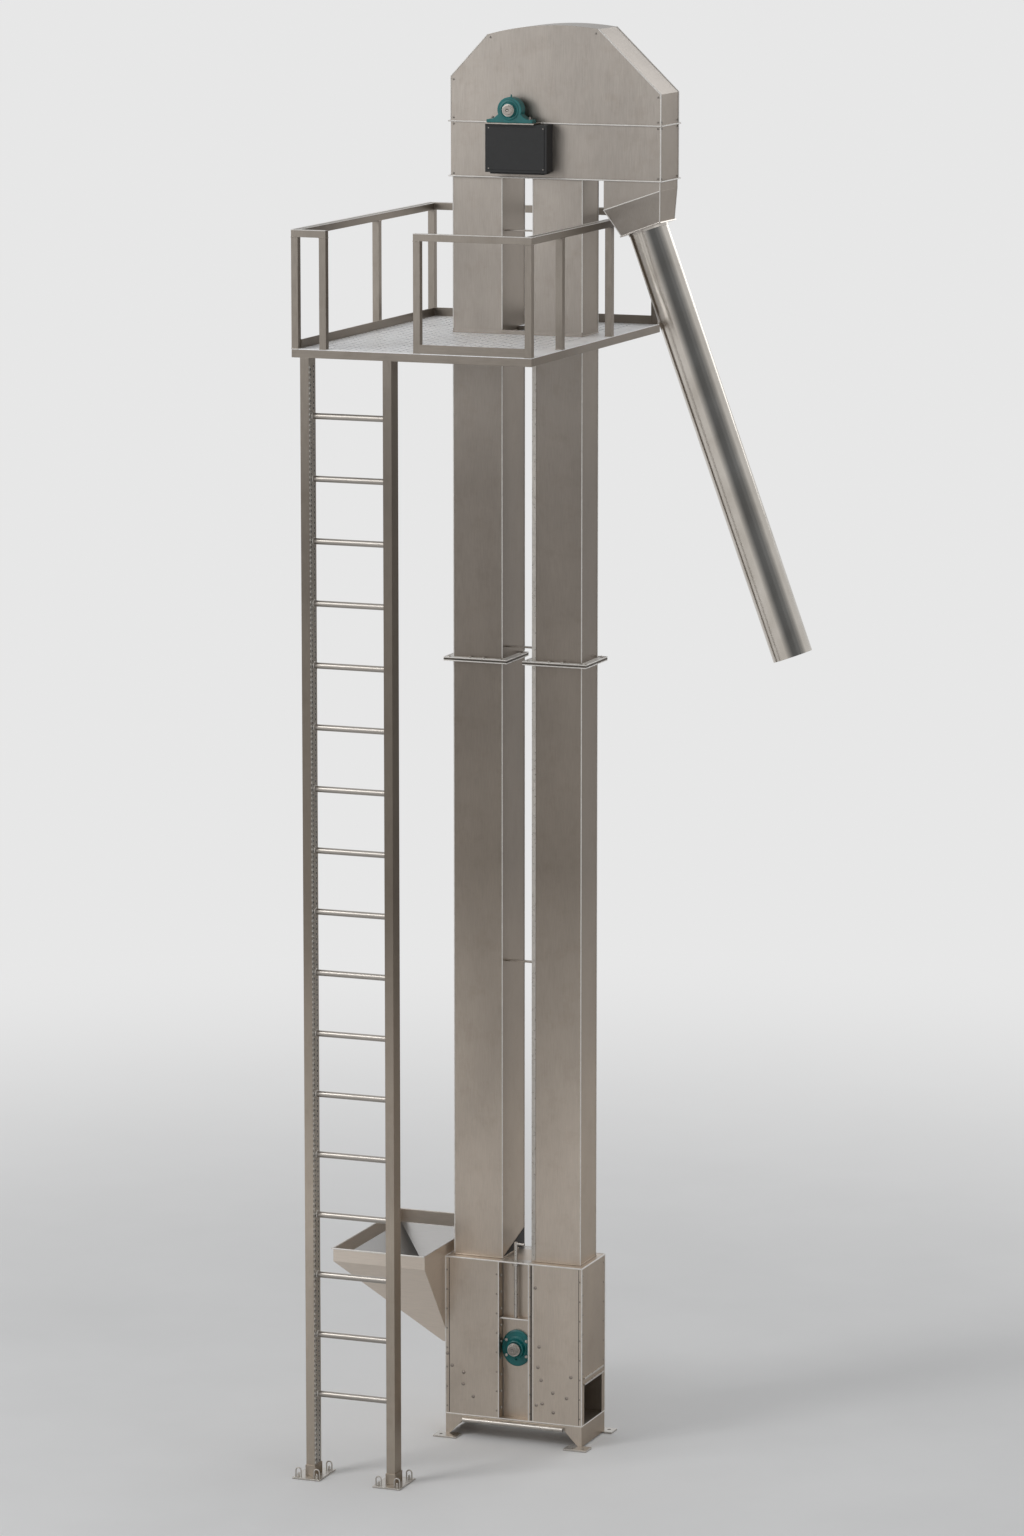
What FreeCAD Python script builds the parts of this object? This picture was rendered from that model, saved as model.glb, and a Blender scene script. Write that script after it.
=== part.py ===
import FreeCAD, Part
import math
import os
import re
import Sketcher
from FreeCAD import Placement, Rotation, Vector

# Driving sizes in millimetres; the origin is on the floor at the middle of the boot.
SIZES = {
    # sheet metal and running clearances
    "wall": 3, "plate": 6, "belt_clearance": 0.4, "bore_clearance": 0.05, "seat_clearance": 0.3,
    "shaft_opening": 4,
    # boot
    "boot_margin": 28, "boot_deep": 325, "boot_top": 920, "plinth_top": 107, "recess_deep": 62,
    "foot_long": 122, "foot_wide": 80, "foot_thick": 8, "foot_out": 46, "anchor_radius": 9,
    "cut_rise": 78, "cut_foot": 20, "cut_slope": 75, "cleanout_wide": 250, "cleanout_high": 205,
    "guard_bar": 8, "guard_over": 10, "guard_gap": 4, "guard_pitch": 30,
    # legs
    "leg_wide": 255, "leg_gap": 160, "leg_deep": 218, "flange_level": 3930, "flange_out": 38,
    "flange_thick": 8, "seam_wide": 20, "web_deep": 82, "web_lip": 24,
    "tie_wide": 30, "tie_thick": 6, "tie_above_boot": 1500, "tie_above_deck": 500,
    "tie_above_flange": 60, "collar_high": 20,
    # head
    "head_bottom": 6294, "head_margin": 5, "head_right": 740, "head_deep": 249, "head_joint": 6560,
    "hood_left_rise": 215, "hood_right_rise": 150, "hood_crown_left": 148, "hood_crown_right": 422,
    "hood_crown_left_rise": 420, "hood_crown_right_rise": 455, "hood_radius": 1400, "band_out": 10,
    # drums, shafts and belt
    "drum_radius": 120, "drum_long": 170, "shaft_radius": 25, "head_shaft_level": 6625,
    "boot_shaft_level": 470, "shaft_end": 18, "shaft_past_gear": 40, "belt_thick": 6, "belt_wide": 150,
    "bucket_reach": 120, "bucket_high": 100, "bucket_wide": 146, "bucket_wall": 3, "bucket_pitch": 200,
    # bearings
    "block_base_wide": 236, "block_base_deep": 56, "block_base_high": 18, "block_radius": 62,
    "block_bolt_radius": 9, "block_bolt_high": 12, "block_bolt_inset": 22,
    "shelf_deep": 105, "shelf_margin": 12, "flange_bearing_radius": 78, "flange_bearing_thick": 14,
    "lobe_radius": 38, "lobe_reach": 56, "hub_radius": 46, "hub_deep": 26,
    "collar_radius": 33, "collar_long": 18, "boot_collar_long": 12, "head_collar_radius": 30,
    "bolt_radius": 8, "bolt_high": 8, "small_bolt": 5, "bolt_inset": 14,
    # take-up
    "slide_wide": 152, "slide_high": 268, "slide_drop": 110, "slide_thick": 8, "lip_deep": 44,
    "takeup_travel": 100, "screw_radius": 9, "nut_radius": 17, "nut_high": 18,
    "slot_margin": 5, "handle_high": 95, "handle_reach": 46,
    # inlet hopper
    "rim_lip": 8, "hopper_long": 490, "hopper_wide": 880, "hopper_top": 980, "hopper_band": 68,
    "hopper_drop": 450, "throat_wide": 200, "throat_long": 40, "throat_high": 190,
    # discharge
    "spout_left": 449, "spout_right": 736, "spout_low": 6150, "spout_high": 6250,
    "pipe_radius": 98, "pipe_wall": 2, "funnel_margin": 6, "sleeve_long": 16, "collar_out": 12,
    "pipe_top_x": 631, "pipe_top_z": 6064, "pipe_end_x": 1384, "pipe_end_z": 4019,
    # control box and drive
    "box_left": 122, "box_wide": 309, "box_high": 227, "box_deep": 78, "lid_thick": 12,
    "lid_margin": 4, "lid_screw_radius": 6, "lid_screw_high": 3,
    "gear_gap": 12, "gear_wide": 250, "gear_high": 330, "gear_deep": 120,
    "motor_radius": 50, "motor_long": 300, "motor_flange_radius": 59, "fan_cover_long": 66,
    "boss_radius": 62, "boss_high": 12, "arm_thick": 12, "arm_high": 50,
    # platform
    "deck_left": 761, "deck_right": 459, "deck_front": 1105, "deck_back": 646, "deck_level": 5530,
    "frame_high": 38, "frame_wide": 40, "deck_thick": 4, "rail_top": 6097, "post": 34,
    "post_wall": 2, "toe_high": 42, "toe_thick": 4, "gate_left": 584, "gate_right": 138,
    # ladder
    "ladder_left": 718, "ladder_right": 250, "stile_wide": 44, "stile_deep": 82, "rung_radius": 15,
    "rung_first": 411, "rung_pitch": 300, "rung_count": 17, "ladder_foot_long": 142,
    "ladder_foot_wide": 206, "anchor_bolt_radius": 7, "anchor_bolt_high": 22,
    "hole_radius": 6, "hole_pitch": 75, "hole_start": 60,
}
S = SIZES

# Sizes that follow from the legs, written out wherever their names are used
DERIVED = {
    "boot_wide": "(leg_gap+2*leg_wide+2*boot_margin)",
    "head_left": "(leg_gap/2+leg_wide+head_margin)",
}

doc = FreeCAD.newDocument("bucket_elevator")
sheet = doc.addObject("Spreadsheet::Sheet", "dims")
for row, (alias, number) in enumerate(SIZES.items(), 1):
    sheet.set("A%d" % row, alias)
    sheet.set("B%d" % row, str(number))
    sheet.setAlias("B%d" % row, alias)
doc.recompute()

AXES = {"X": Rotation(Vector(0, 1, 0), 90), "Y": Rotation(Vector(1, 0, 0), -90), "Z": Rotation()}
PIECES = {}


def bound(text):
    """Point every size's name in an expression at its cell of the sheet."""
    spelled = re.sub(r"[a-z_]+", lambda word: DERIVED.get(word.group(), word.group()), str(text))
    return re.sub(r"[a-z_]+", lambda word: "dims." + word.group() if word.group() in SIZES
                  else word.group(), spelled)


def place(obj, x, y, z):
    for axis, text in zip("xyz", (x, y, z)):
        obj.setExpression("Placement.Base." + axis, bound(text))
    return obj


def block(x, y, z, long, wide, high):
    obj = doc.addObject("Part::Box", "block")
    for name, text in (("Length", long), ("Width", wide), ("Height", high)):
        obj.setExpression(name, bound(text))
    return place(obj, x, y, z)


def rod(axis, x, y, z, radius, long):
    obj = doc.addObject("Part::Cylinder", "rod")
    obj.Placement = Placement(Vector(), AXES[axis])
    obj.setExpression("Radius", bound(radius))
    obj.setExpression("Height", bound(long))
    return place(obj, x, y, z)


def group(pieces):
    obj = doc.addObject("Part::Compound", "group")
    obj.Links = list(pieces)
    return obj


def cut(base, *tools):
    obj = doc.addObject("Part::Cut", "cut")
    obj.Base = base
    obj.Tool = tools[0] if len(tools) == 1 else fuse(*tools)
    return obj


def fuse(*pieces):
    obj = doc.addObject("Part::MultiFuse", "joined")
    obj.Shapes = list(pieces)
    return obj


def node(label, *pieces):
    """Put solids in a named node; alike pieces of both sides share one."""
    PIECES.setdefault(label, []).extend(pieces)


def ring(axis, x, y, z, outer, inner, long):
    return cut(rod(axis, x, y, z, outer, long), rod(axis, x, y, z, inner, long))


def tube(x, y, z, long, wide, high, along, thick="post_wall"):
    """A hollow rectangular tube that runs along one axis."""
    outer = [x, y, z, long, wide, high]
    inner = list(outer)
    for index, axis in enumerate("XYZ"):
        if axis != along:
            inner[index] = "%s+%s" % (outer[index], thick)
            inner[index + 3] = "%s-2*%s" % (outer[index + 3], thick)
    return cut(block(*outer), block(*inner))


def profile(plane, points, deep, x=0, y=0, z=0, arc_side=None, arc_radius=None):
    """Pad a sketched outline evenly to both sides of its plane."""
    body = doc.addObject("PartDesign::Body", "profile")
    sketch = body.newObject("Sketcher::SketchObject", "outline")
    origin = [f for f in body.Origin.OriginFeatures if f.Role == plane][0]
    sketch.AttachmentSupport = (origin, "")
    sketch.MapMode = "FlatFace"
    corners = [Vector(number(a), number(b), 0) for a, b in points]
    count = len(corners)
    for index in range(count):
        start, end = corners[index], corners[(index + 1) % count]
        if index == arc_side:
            chord = end - start
            side = Vector(-chord.y, chord.x, 0).normalize()
            sag = arc_radius_value(arc_radius) - math.sqrt(
                arc_radius_value(arc_radius) ** 2 - (chord.Length / 2) ** 2)
            middle = (start + end) * 0.5 + side * sag
            sketch.addGeometry(Part.Arc(start, middle, end), False)
        else:
            sketch.addGeometry(Part.LineSegment(start, end), False)
    for index in range(count):
        first = arc_ends(index, arc_side)
        second = arc_ends((index + 1) % count, arc_side)
        sketch.addConstraint(Sketcher.Constraint("Coincident", index, first[1],
                                                 (index + 1) % count, second[0]))
    for index, pair in enumerate(points):
        point = arc_ends(index, arc_side)[0]
        for kind, text in zip(("DistanceX", "DistanceY"), pair):
            side = sketch.addConstraint(Sketcher.Constraint(
                kind, -1, 1, index, point, number(text)))
            sketch.setExpression("Constraints[%d]" % side, bound(text))
    if arc_side is not None:
        side = sketch.addConstraint(Sketcher.Constraint("Radius", arc_side,
                                                        arc_radius_value(arc_radius)))
        sketch.setExpression("Constraints[%d]" % side, bound(arc_radius))
    pad = body.newObject("PartDesign::Pad", "pad")
    pad.Profile = sketch
    pad.Midplane = True
    pad.setExpression("Length", bound(deep))
    return place(body, x, y, z)


def arc_radius_value(text):
    return float(SIZES[text])


def arc_ends(index, arc_side):
    """A clockwise arc is stored the other way round, so its ends swap."""
    return (2, 1) if index == arc_side else (1, 2)


probe = doc.addObject("Part::Box", "number_probe")


def number(text):
    """The value of an expression, read through a bound placement."""
    probe.setExpression("Placement.Base.x", bound(text))
    probe.recompute()
    return probe.Placement.Base.x


# Boot casing
half_boot = "boot_wide/2"
front = "-boot_deep/2"
recess_half = "leg_gap/2"
casing_high = "boot_top-plinth_top"
shaft_slot_wide = "2*(shaft_radius+slot_margin)"
slot_low = "boot_shaft_level-shaft_radius-slot_margin"
slot_high = "takeup_travel+2*(shaft_radius+slot_margin)"
recess_y = "boot_deep/2-recess_deep"

for side, y in (("front", front), ("rear", "boot_deep/2-wall")):
    for x in ("-boot_wide/2", "leg_gap/2"):
        node("boot_%s_panels" % side,
             block(x, y, "plinth_top+wall", "(boot_wide-leg_gap)/2", "wall", casing_high + "-2*wall"))


def recess_panel(label, sign):
    """Channel between the outer panels, with a slot that the boot shaft travels in."""
    y = "-(%s)" % recess_y if sign < 0 else recess_y + "-wall"
    web_y = front + "+wall" if sign < 0 else recess_y + "-wall"
    channel = fuse(
        block("-" + recess_half, y, "plinth_top+wall", "leg_gap", "wall", casing_high + "-2*wall"),
        block("-%s-wall" % recess_half, web_y, "plinth_top+wall", "wall", "recess_deep",
              casing_high + "-2*wall"),
        block(recess_half, web_y, "plinth_top+wall", "wall", "recess_deep", casing_high + "-2*wall"))
    slot = block("-(%s)/2" % shaft_slot_wide, y + "-1", slot_low, shaft_slot_wide, "wall+2", slot_high)
    node(label, cut(channel, slot))


recess_panel("boot_recess_channels", -1)
recess_panel("boot_recess_channels", 1)

inner_y = front + "+wall"
inner_deep = "boot_deep-2*wall"
inlet_wall = block("-" + half_boot, inner_y, "plinth_top+wall", "wall", inner_deep,
                   casing_high + "-2*wall")
inlet_hole = block("-%s-1" % half_boot, "-throat_wide/2", "hopper_top-hopper_band-hopper_drop+wall",
                   "wall+2", "throat_wide", "throat_high-wall")
node("boot_inlet_wall", cut(inlet_wall, inlet_hole))
clean_wall = block(half_boot + "-wall", inner_y, "plinth_top+wall", "wall", inner_deep,
                   casing_high + "-2*wall")
clean_hole = block(half_boot + "-wall-1", "-cleanout_wide/2", "plinth_top+wall-1",
                   "wall+2", "cleanout_wide", "cleanout_high+1")
node("boot_cleanout_wall", cut(clean_wall, clean_hole))
node("boot_floor", block("-" + half_boot, front, "plinth_top", "boot_wide", "boot_deep", "wall"))

top_plate = block("-" + half_boot, front, "boot_top-wall", "boot_wide", "boot_deep", "wall")
throats = [block(x, "wall-leg_deep/2", "boot_top-wall-1", "leg_wide-2*wall", "leg_deep-2*wall", "wall+2")
           for x in ("-leg_gap/2-leg_wide+wall", "leg_gap/2+wall")]
recess_notches = [block("-" + recess_half, y, "boot_top-wall-1", "leg_gap", "recess_deep", "wall+2")
                  for y in (front + "-1", recess_y + "+1")]
node("boot_top_plate", cut(top_plate, *(throats + recess_notches)))

# Plinth with trapezoid cut-outs and four foot plates
cut_half = "boot_wide/2-cut_foot"
plinth_outline = [("-" + half_boot, "foot_thick"), ("-(%s)" % cut_half, "foot_thick"),
                  ("-(%s)+cut_slope" % cut_half, "foot_thick+cut_rise"),
                  (cut_half + "-cut_slope", "foot_thick+cut_rise"), (cut_half, "foot_thick"),
                  (half_boot, "foot_thick"), (half_boot, "plinth_top"), ("-" + half_boot, "plinth_top")]
for y in (front + "+wall/2", "boot_deep/2-wall/2"):
    node("plinth", profile("XZ_Plane", plinth_outline, "wall", y=y))
for x in ("-" + half_boot, half_boot + "-wall"):
    node("plinth",
         block(x, inner_y, "foot_thick", "wall", inner_deep, "plinth_top-foot_thick"))

anchor_x = "boot_wide/2+foot_out-foot_long/4"
anchor_y = "boot_deep/2+foot_wide/3"
feet = []
for sx in (-1, 1):
    for sy in (-1, 1):
        x = "boot_wide/2+foot_out-foot_long" if sx > 0 else "-boot_wide/2-foot_out"
        y = "boot_deep/2-foot_wide/4" if sy > 0 else "-boot_deep/2-foot_wide*3/4"
        plate = block(x, y, 0, "foot_long", "foot_wide", "foot_thick")
        hole = rod("Z", "%d*(%s)" % (sx, anchor_x), "%d*(%s)" % (sy, anchor_y), -1,
                   "anchor_radius", "foot_thick+2")
        feet.append(cut(plate, hole))
node("boot_feet", *feet)
node("front_tie_tube", ring("X", "-(%s)+cut_slope" % cut_half, front + "-rung_radius*0.75",
                            "foot_thick+cut_rise+wall", "rung_radius*0.75", "rung_radius*0.75-post_wall",
                            "2*(%s-cut_slope)" % cut_half))

# Double rail over the cleanout
rails = [block(half_boot, "-cleanout_wide/2-guard_over", "plinth_top+wall+cleanout_high+%s" % above,
               "guard_bar", "cleanout_wide+2*guard_over", "guard_bar")
         for above in ("guard_gap", "guard_gap+guard_pitch")]
node("cleanout_rails", *rails)

# Inlet hopper: a rim band over a half pyramid that drains through the inlet wall
pyramid_turn = Rotation(Vector(1, 0, 0), 90)


def pyramid(inset, low, high):
    """Half pyramid from the rim down to the throat; x is measured back from the boot."""
    obj = doc.addObject("Part::Wedge", "pyramid")
    obj.Placement = Placement(Vector(), pyramid_turn)
    for name, text in (("Xmin", "-throat_long+%s" % inset), ("Xmax", "-(%s)" % inset),
                       ("X2min", "-hopper_long+%s" % inset), ("X2max", "-(%s)" % inset),
                       ("Zmin", "-throat_wide/2+%s" % inset), ("Zmax", "throat_wide/2-(%s)" % inset),
                       ("Z2min", "-hopper_wide/2+%s" % inset), ("Z2max", "hopper_wide/2-(%s)" % inset),
                       ("Ymin", low), ("Ymax", high)):
        obj.setExpression(name, bound(text))
    return place(obj, "-" + half_boot, 0, 0)


band_low = "hopper_top-hopper_band"
pyramid_low = "hopper_top-hopper_band-hopper_drop"
shell = fuse(pyramid("0", pyramid_low, band_low),
             block("-%s-hopper_long" % half_boot, "-hopper_wide/2", band_low, "hopper_long",
                   "hopper_wide", "hopper_band"),
             block("-%s-hopper_long-rim_lip" % half_boot, "-hopper_wide/2-rim_lip", "hopper_top-wall",
                   "hopper_long+rim_lip", "hopper_wide+2*rim_lip", "wall"))
hollow = fuse(pyramid("wall", pyramid_low + "+wall", band_low),
              block("-%s-hopper_long+wall" % half_boot, "-hopper_wide/2+wall", band_low,
                    "hopper_long-2*wall", "hopper_wide-2*wall", "hopper_band+1"),
              block("-%s-wall-1" % half_boot, "-throat_wide/2+wall", pyramid_low + "+wall",
                    "wall+2", "throat_wide-2*wall", "throat_high-wall"))
node("inlet_hopper", cut(shell, hollow))

# Legs: two tubes each, joined by welded flanges, with a gap of one gasket
leg_x = {"left": "-leg_gap/2-leg_wide", "right": "leg_gap/2"}
web_spans = {"lower": [("boot_top", "flange_level")],
             "upper": [("flange_level", "deck_level-frame_high-seat_clearance"),
                       ("deck_level+deck_thick+collar_high", "head_bottom")]}


def web(start, end):
    """The left leg's inner sheet, run on behind the leg and folded over at its edge."""
    high = "%s-(%s)" % (end, start)
    return [block("-leg_gap/2-wall", "leg_deep/2-wall", start, "wall", "web_deep+wall", high),
            block("-leg_gap/2-web_lip", "leg_deep/2+web_deep-wall", start, "web_lip", "wall", high)]


for name, x in leg_x.items():
    for part, low, high in (("lower", "boot_top", "flange_level"),
                            ("upper", "flange_level", "head_bottom")):
        flange_z = "flange_level-flange_thick" if part == "lower" else "flange_level"
        outer = [block(x, "-leg_deep/2", low, "leg_wide", "leg_deep", "%s-%s" % (high, low)),
                 block("%s-flange_out" % x, "-leg_deep/2-flange_out", flange_z,
                       "leg_wide+2*flange_out", "leg_deep+2*flange_out", "flange_thick")]
        if name == "left":
            outer += [piece for start, end in web_spans[part] for piece in web(start, end)]
        bore = block(x + "+wall", "-leg_deep/2+wall", low + "-1", "leg_wide-2*wall",
                     "leg_deep-2*wall", "%s-(%s)+2" % (high, low))
        node("leg_%s_%s" % (name, part), cut(fuse(*outer), bore))
bolts = []
for x in leg_x.values():
    for along in (-0.06, 0.36, 0.64, 1.06):
        for sy in (-1, 1):
            bolts.append(rod("Z", "%s+leg_wide*%s" % (x, along), "%d*(leg_deep/2+flange_out/2)" % sy,
                             "flange_level+flange_thick", "flange_thick", "flange_thick"))
node("leg_flange_bolts", *bolts)
strip_gap = "(flange_thick+seat_clearance)"
strip_spans = (("boot_top", "flange_level-%s" % strip_gap),
               ("flange_level+%s" % strip_gap, "deck_level-frame_high"))
node("leg_seam_strip", *[block("leg_gap/2-wall", "-leg_deep/2-wall", low, "seam_wide", "wall",
                               "%s-(%s)" % (high, low)) for low, high in strip_spans])
node("leg_brackets", *[block("-leg_gap/2", "-leg_deep/4", z, "leg_gap", "tie_wide", "tie_thick")
                       for z in ("flange_level+tie_above_flange", "boot_top+tie_above_boot",
                                 "deck_level+tie_above_deck")])

# Head: floor plate, lower casing and hood, split at the joint band
head_front = "-head_deep/2"
head_long = "head_left+head_right"
floor_plate = block("-head_left-band_out", head_front + "-band_out", "head_bottom",
                    head_long + "+2*band_out", "head_deep+2*band_out", "wall")
leg_holes = [block(x + "+wall", "-leg_deep/2+wall", "head_bottom-1", "leg_wide-2*wall",
                   "leg_deep-2*wall", "wall+2") for x in leg_x.values()]
spout_hole = block("spout_left+wall", head_front + "+2*wall", "head_bottom-1",
                   "spout_right-spout_left-2*wall", "head_deep-4*wall", "wall+2")
node("head_floor", cut(floor_plate, *(leg_holes + [spout_hole])))
lower_base = "head_bottom+wall"
lower_high = "head_joint-head_bottom-wall"
lower = fuse(block("-head_left", head_front, lower_base, head_long, "head_deep", lower_high),
             block("-head_left-band_out", head_front + "-band_out", "head_joint-wall",
                   head_long + "+2*band_out", "head_deep+2*band_out", "wall"))
node("head_casing", cut(lower, block("-head_left+wall", head_front + "+wall", lower_base + "-1",
                                     head_long + "-2*wall", "head_deep-2*wall", lower_high + "+2")))
hood_outline = [("-head_left", "head_joint"), ("-head_left", "head_joint+hood_left_rise"),
                ("-hood_crown_left", "head_joint+hood_crown_left_rise"),
                ("hood_crown_right", "head_joint+hood_crown_right_rise"),
                ("head_right", "head_joint+hood_right_rise"), ("head_right", "head_joint")]
inset_outline = [("-head_left+wall", "head_joint-1"),
                 ("-head_left+wall", "head_joint+hood_left_rise-wall"),
                 ("-hood_crown_left+wall", "head_joint+hood_crown_left_rise-1.5*wall"),
                 ("hood_crown_right-wall", "head_joint+hood_crown_right_rise-1.5*wall"),
                 ("head_right-wall", "head_joint+hood_right_rise-wall"),
                 ("head_right-wall", "head_joint-1")]
hood = fuse(profile("XZ_Plane", hood_outline, "head_deep", arc_side=2, arc_radius="hood_radius"),
            block("-head_left-band_out", head_front + "-band_out", "head_joint",
                  head_long + "+2*band_out", "head_deep+2*band_out", "wall"))
hood_space = fuse(profile("XZ_Plane", inset_outline, "head_deep-2*wall", arc_side=2,
                          arc_radius="hood_radius"),
                  rod("Y", 0, head_front + "-1", "head_shaft_level",
                      "shaft_radius+shaft_opening", "head_deep+2"))
node("head_hood", cut(hood, hood_space))
head_bolts = []
bolt_rows = ("head_bottom+bolt_inset", "head_joint-bolt_inset", "head_joint+wall+bolt_inset")
front_points = [(x, z) for x in ("-head_left+bolt_inset", "head_right-bolt_inset")
                for z in bolt_rows]
front_points += [("-head_left+bolt_inset", "head_joint+hood_left_rise-bolt_inset"),
                 ("head_right-bolt_inset", "head_joint+hood_right_rise-bolt_inset"),
                 ("-hood_crown_left+bolt_inset", "head_joint+hood_crown_left_rise-bolt_inset"),
                 ("hood_crown_right-bolt_inset", "head_joint+hood_crown_right_rise-1.5*bolt_inset")]
for x, z in front_points:
    head_bolts.append(rod("Y", x, head_front + "-small_bolt", z, "small_bolt", "small_bolt"))
for y in (head_front + "+bolt_inset", "head_deep/2-bolt_inset"):
    for z in bolt_rows:
        head_bolts.append(rod("X", "head_right", y, z, "small_bolt", "small_bolt"))
node("head_bolts", *head_bolts)

# Head bearings: a pillow block on a shelf at each side
block_y = {"front": "-head_deep/2-shelf_deep+10", "rear": "head_deep/2+shelf_deep-10-block_base_deep"}
base_z = "head_joint+wall"
for side, y in block_y.items():
    shelf_y = head_front + "-shelf_deep" if side == "front" else "head_deep/2"
    band_y = head_front + "-band_out-1" if side == "front" else "head_deep/2-1"
    shelf = block("-block_base_wide/2-shelf_margin", shelf_y, "head_joint-wall",
                  "block_base_wide+2*shelf_margin", "shelf_deep", "plate")
    band = block("-block_base_wide/2-shelf_margin-1", band_y, "head_joint-wall-1",
                 "block_base_wide+2*shelf_margin+2", "band_out+2", "plate+2")
    node("bearing_shelves", cut(shelf, band))
    housing = fuse(block("-block_base_wide/2", y, base_z, "block_base_wide", "block_base_deep",
                         "block_base_high"),
                   rod("Y", 0, y + "+4", "head_shaft_level", "block_radius", "block_base_deep-8"),
                   block("-block_radius", y + "+4", base_z, "2*block_radius", "block_base_deep-8",
                         "head_shaft_level-head_joint-wall"))
    trim = block("-block_base_wide", y + "-1", base_z + "-block_radius", "2*block_base_wide",
                 "block_base_deep+2", "block_radius")
    bore = rod("Y", 0, y + "-1", "head_shaft_level", "shaft_radius+bore_clearance", "block_base_deep+2")
    node("head_bearings", cut(housing, trim, bore))
    node("head_bolts", *[
        rod("Z", x, y + "+block_base_deep/2", base_z + "+block_base_high",
            "block_bolt_radius", "block_bolt_high")
        for x in ("-block_base_wide/2+block_bolt_inset", "block_base_wide/2-block_bolt_inset")])

# Turning parts: two shafts, their collars and crowned drums
shaft_from = "-head_deep/2-shelf_deep-shaft_end"
node("head_shaft", rod("Y", 0, shaft_from, "head_shaft_level", "shaft_radius",
                       "head_deep+2*shelf_deep+shaft_end+gear_deep+shaft_past_gear"))
collar_y = "-head_deep/2-shelf_deep+10-collar_long"
node("head_collar", ring("Y", 0, collar_y + "-seat_clearance", "head_shaft_level", "head_collar_radius",
                         "shaft_radius", "collar_long"))


def drum(label, level):
    """Drum of a rim and two webs, bored for its shaft."""
    outer = rod("Y", 0, "-drum_long/2", level, "drum_radius", "drum_long")
    rim = [ring("Y", 0, y, level, "drum_radius-8", "shaft_radius+14", "drum_long/2-8")
           for y in ("-drum_long/2-1", "10")]
    node(label, cut(outer, *(rim + [rod("Y", 0, "-drum_long", level, "shaft_radius", "2*drum_long")])))


drum("head_pulley", "head_shaft_level")
drum("boot_pulley", "boot_shaft_level")
node("boot_shaft", rod("Y", 0, "-boot_deep/2-shaft_end", "boot_shaft_level", "shaft_radius",
                       "boot_deep+2*shaft_end"))

# Belt loop and its buckets
belt_inner = "drum_radius+belt_clearance"
belt_outer = belt_inner + "+belt_thick"


def loop(radius, wide):
    run = "head_shaft_level-boot_shaft_level"
    return fuse(rod("Y", 0, "-(%s)/2" % wide, "head_shaft_level", radius, wide),
                rod("Y", 0, "-(%s)/2" % wide, "boot_shaft_level", radius, wide),
                block("-(%s)" % radius, "-(%s)/2" % wide, "boot_shaft_level", "2*(%s)" % radius, wide, run))


node("belt", cut(loop(belt_outer, "belt_wide"), loop(belt_inner, "belt_wide+2")))


def bucket_shape():
    """One open bucket: a front that leans out, a curved toe and two cheeks."""
    reach, high = S["bucket_reach"], S["bucket_high"]

    def section(inset, wide):
        back = Vector(inset, -wide / 2, high if not inset else high + 1)
        lip = Vector(reach - inset, -wide / 2, back.z)
        toe = Vector(reach * 0.62, -wide / 2, high * 0.12 + inset)
        heel = Vector(inset, -wide / 2, inset)
        bulge = (lip + toe) * 0.5 + Vector(3, 0, -8)
        edges = [Part.makeLine(back, lip), Part.Arc(lip, bulge, toe).toShape(),
                 Part.makeLine(toe, heel), Part.makeLine(heel, back)]
        return Part.Face(Part.Wire(edges)).extrude(Vector(0, wide, 0))

    wall = S["bucket_wall"]
    return section(0, S["bucket_wide"]).cut(section(wall, S["bucket_wide"] - 2 * wall))


def along_loop(distance, radius, run):
    """Place and lean of a bucket's back, a given way round the belt."""
    bend = math.pi * radius
    if distance < run:
        return Vector(-radius, 0, S["boot_shaft_level"] + distance), 180
    if distance < run + bend:
        angle = math.pi - (distance - run) / radius
        return (Vector(radius * math.cos(angle), 0, S["head_shaft_level"] + radius * math.sin(angle)),
                math.degrees(angle))
    if distance < 2 * run + bend:
        return Vector(radius, 0, S["head_shaft_level"] - (distance - run - bend)), 0
    angle = -(distance - 2 * run - bend) / radius
    return (Vector(radius * math.cos(angle), 0, S["boot_shaft_level"] + radius * math.sin(angle)),
            math.degrees(angle))


back_radius = S["drum_radius"] + S["belt_clearance"] + S["belt_thick"] + S["seat_clearance"]
loop_run = S["head_shaft_level"] - S["boot_shaft_level"]
loop_long = 2 * loop_run + 2 * math.pi * back_radius
bucket_count = int(loop_long / S["bucket_pitch"])
one_bucket = bucket_shape()
one_bucket.translate(Vector(0, 0, -S["bucket_high"] / 2))
one_bucket.rotate(Vector(), Vector(1, 0, 0), 180)
copies = []
for index in range(bucket_count):
    spot, lean = along_loop(index * loop_long / bucket_count, back_radius, loop_run)
    copy = one_bucket.copy()
    copy.rotate(Vector(), Vector(0, 1, 0), -lean)
    copy.translate(spot)
    copies.append(copy)
buckets = doc.addObject("Part::Feature", "buckets")
buckets.Shape = Part.Compound(copies)
node("buckets", buckets)

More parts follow.
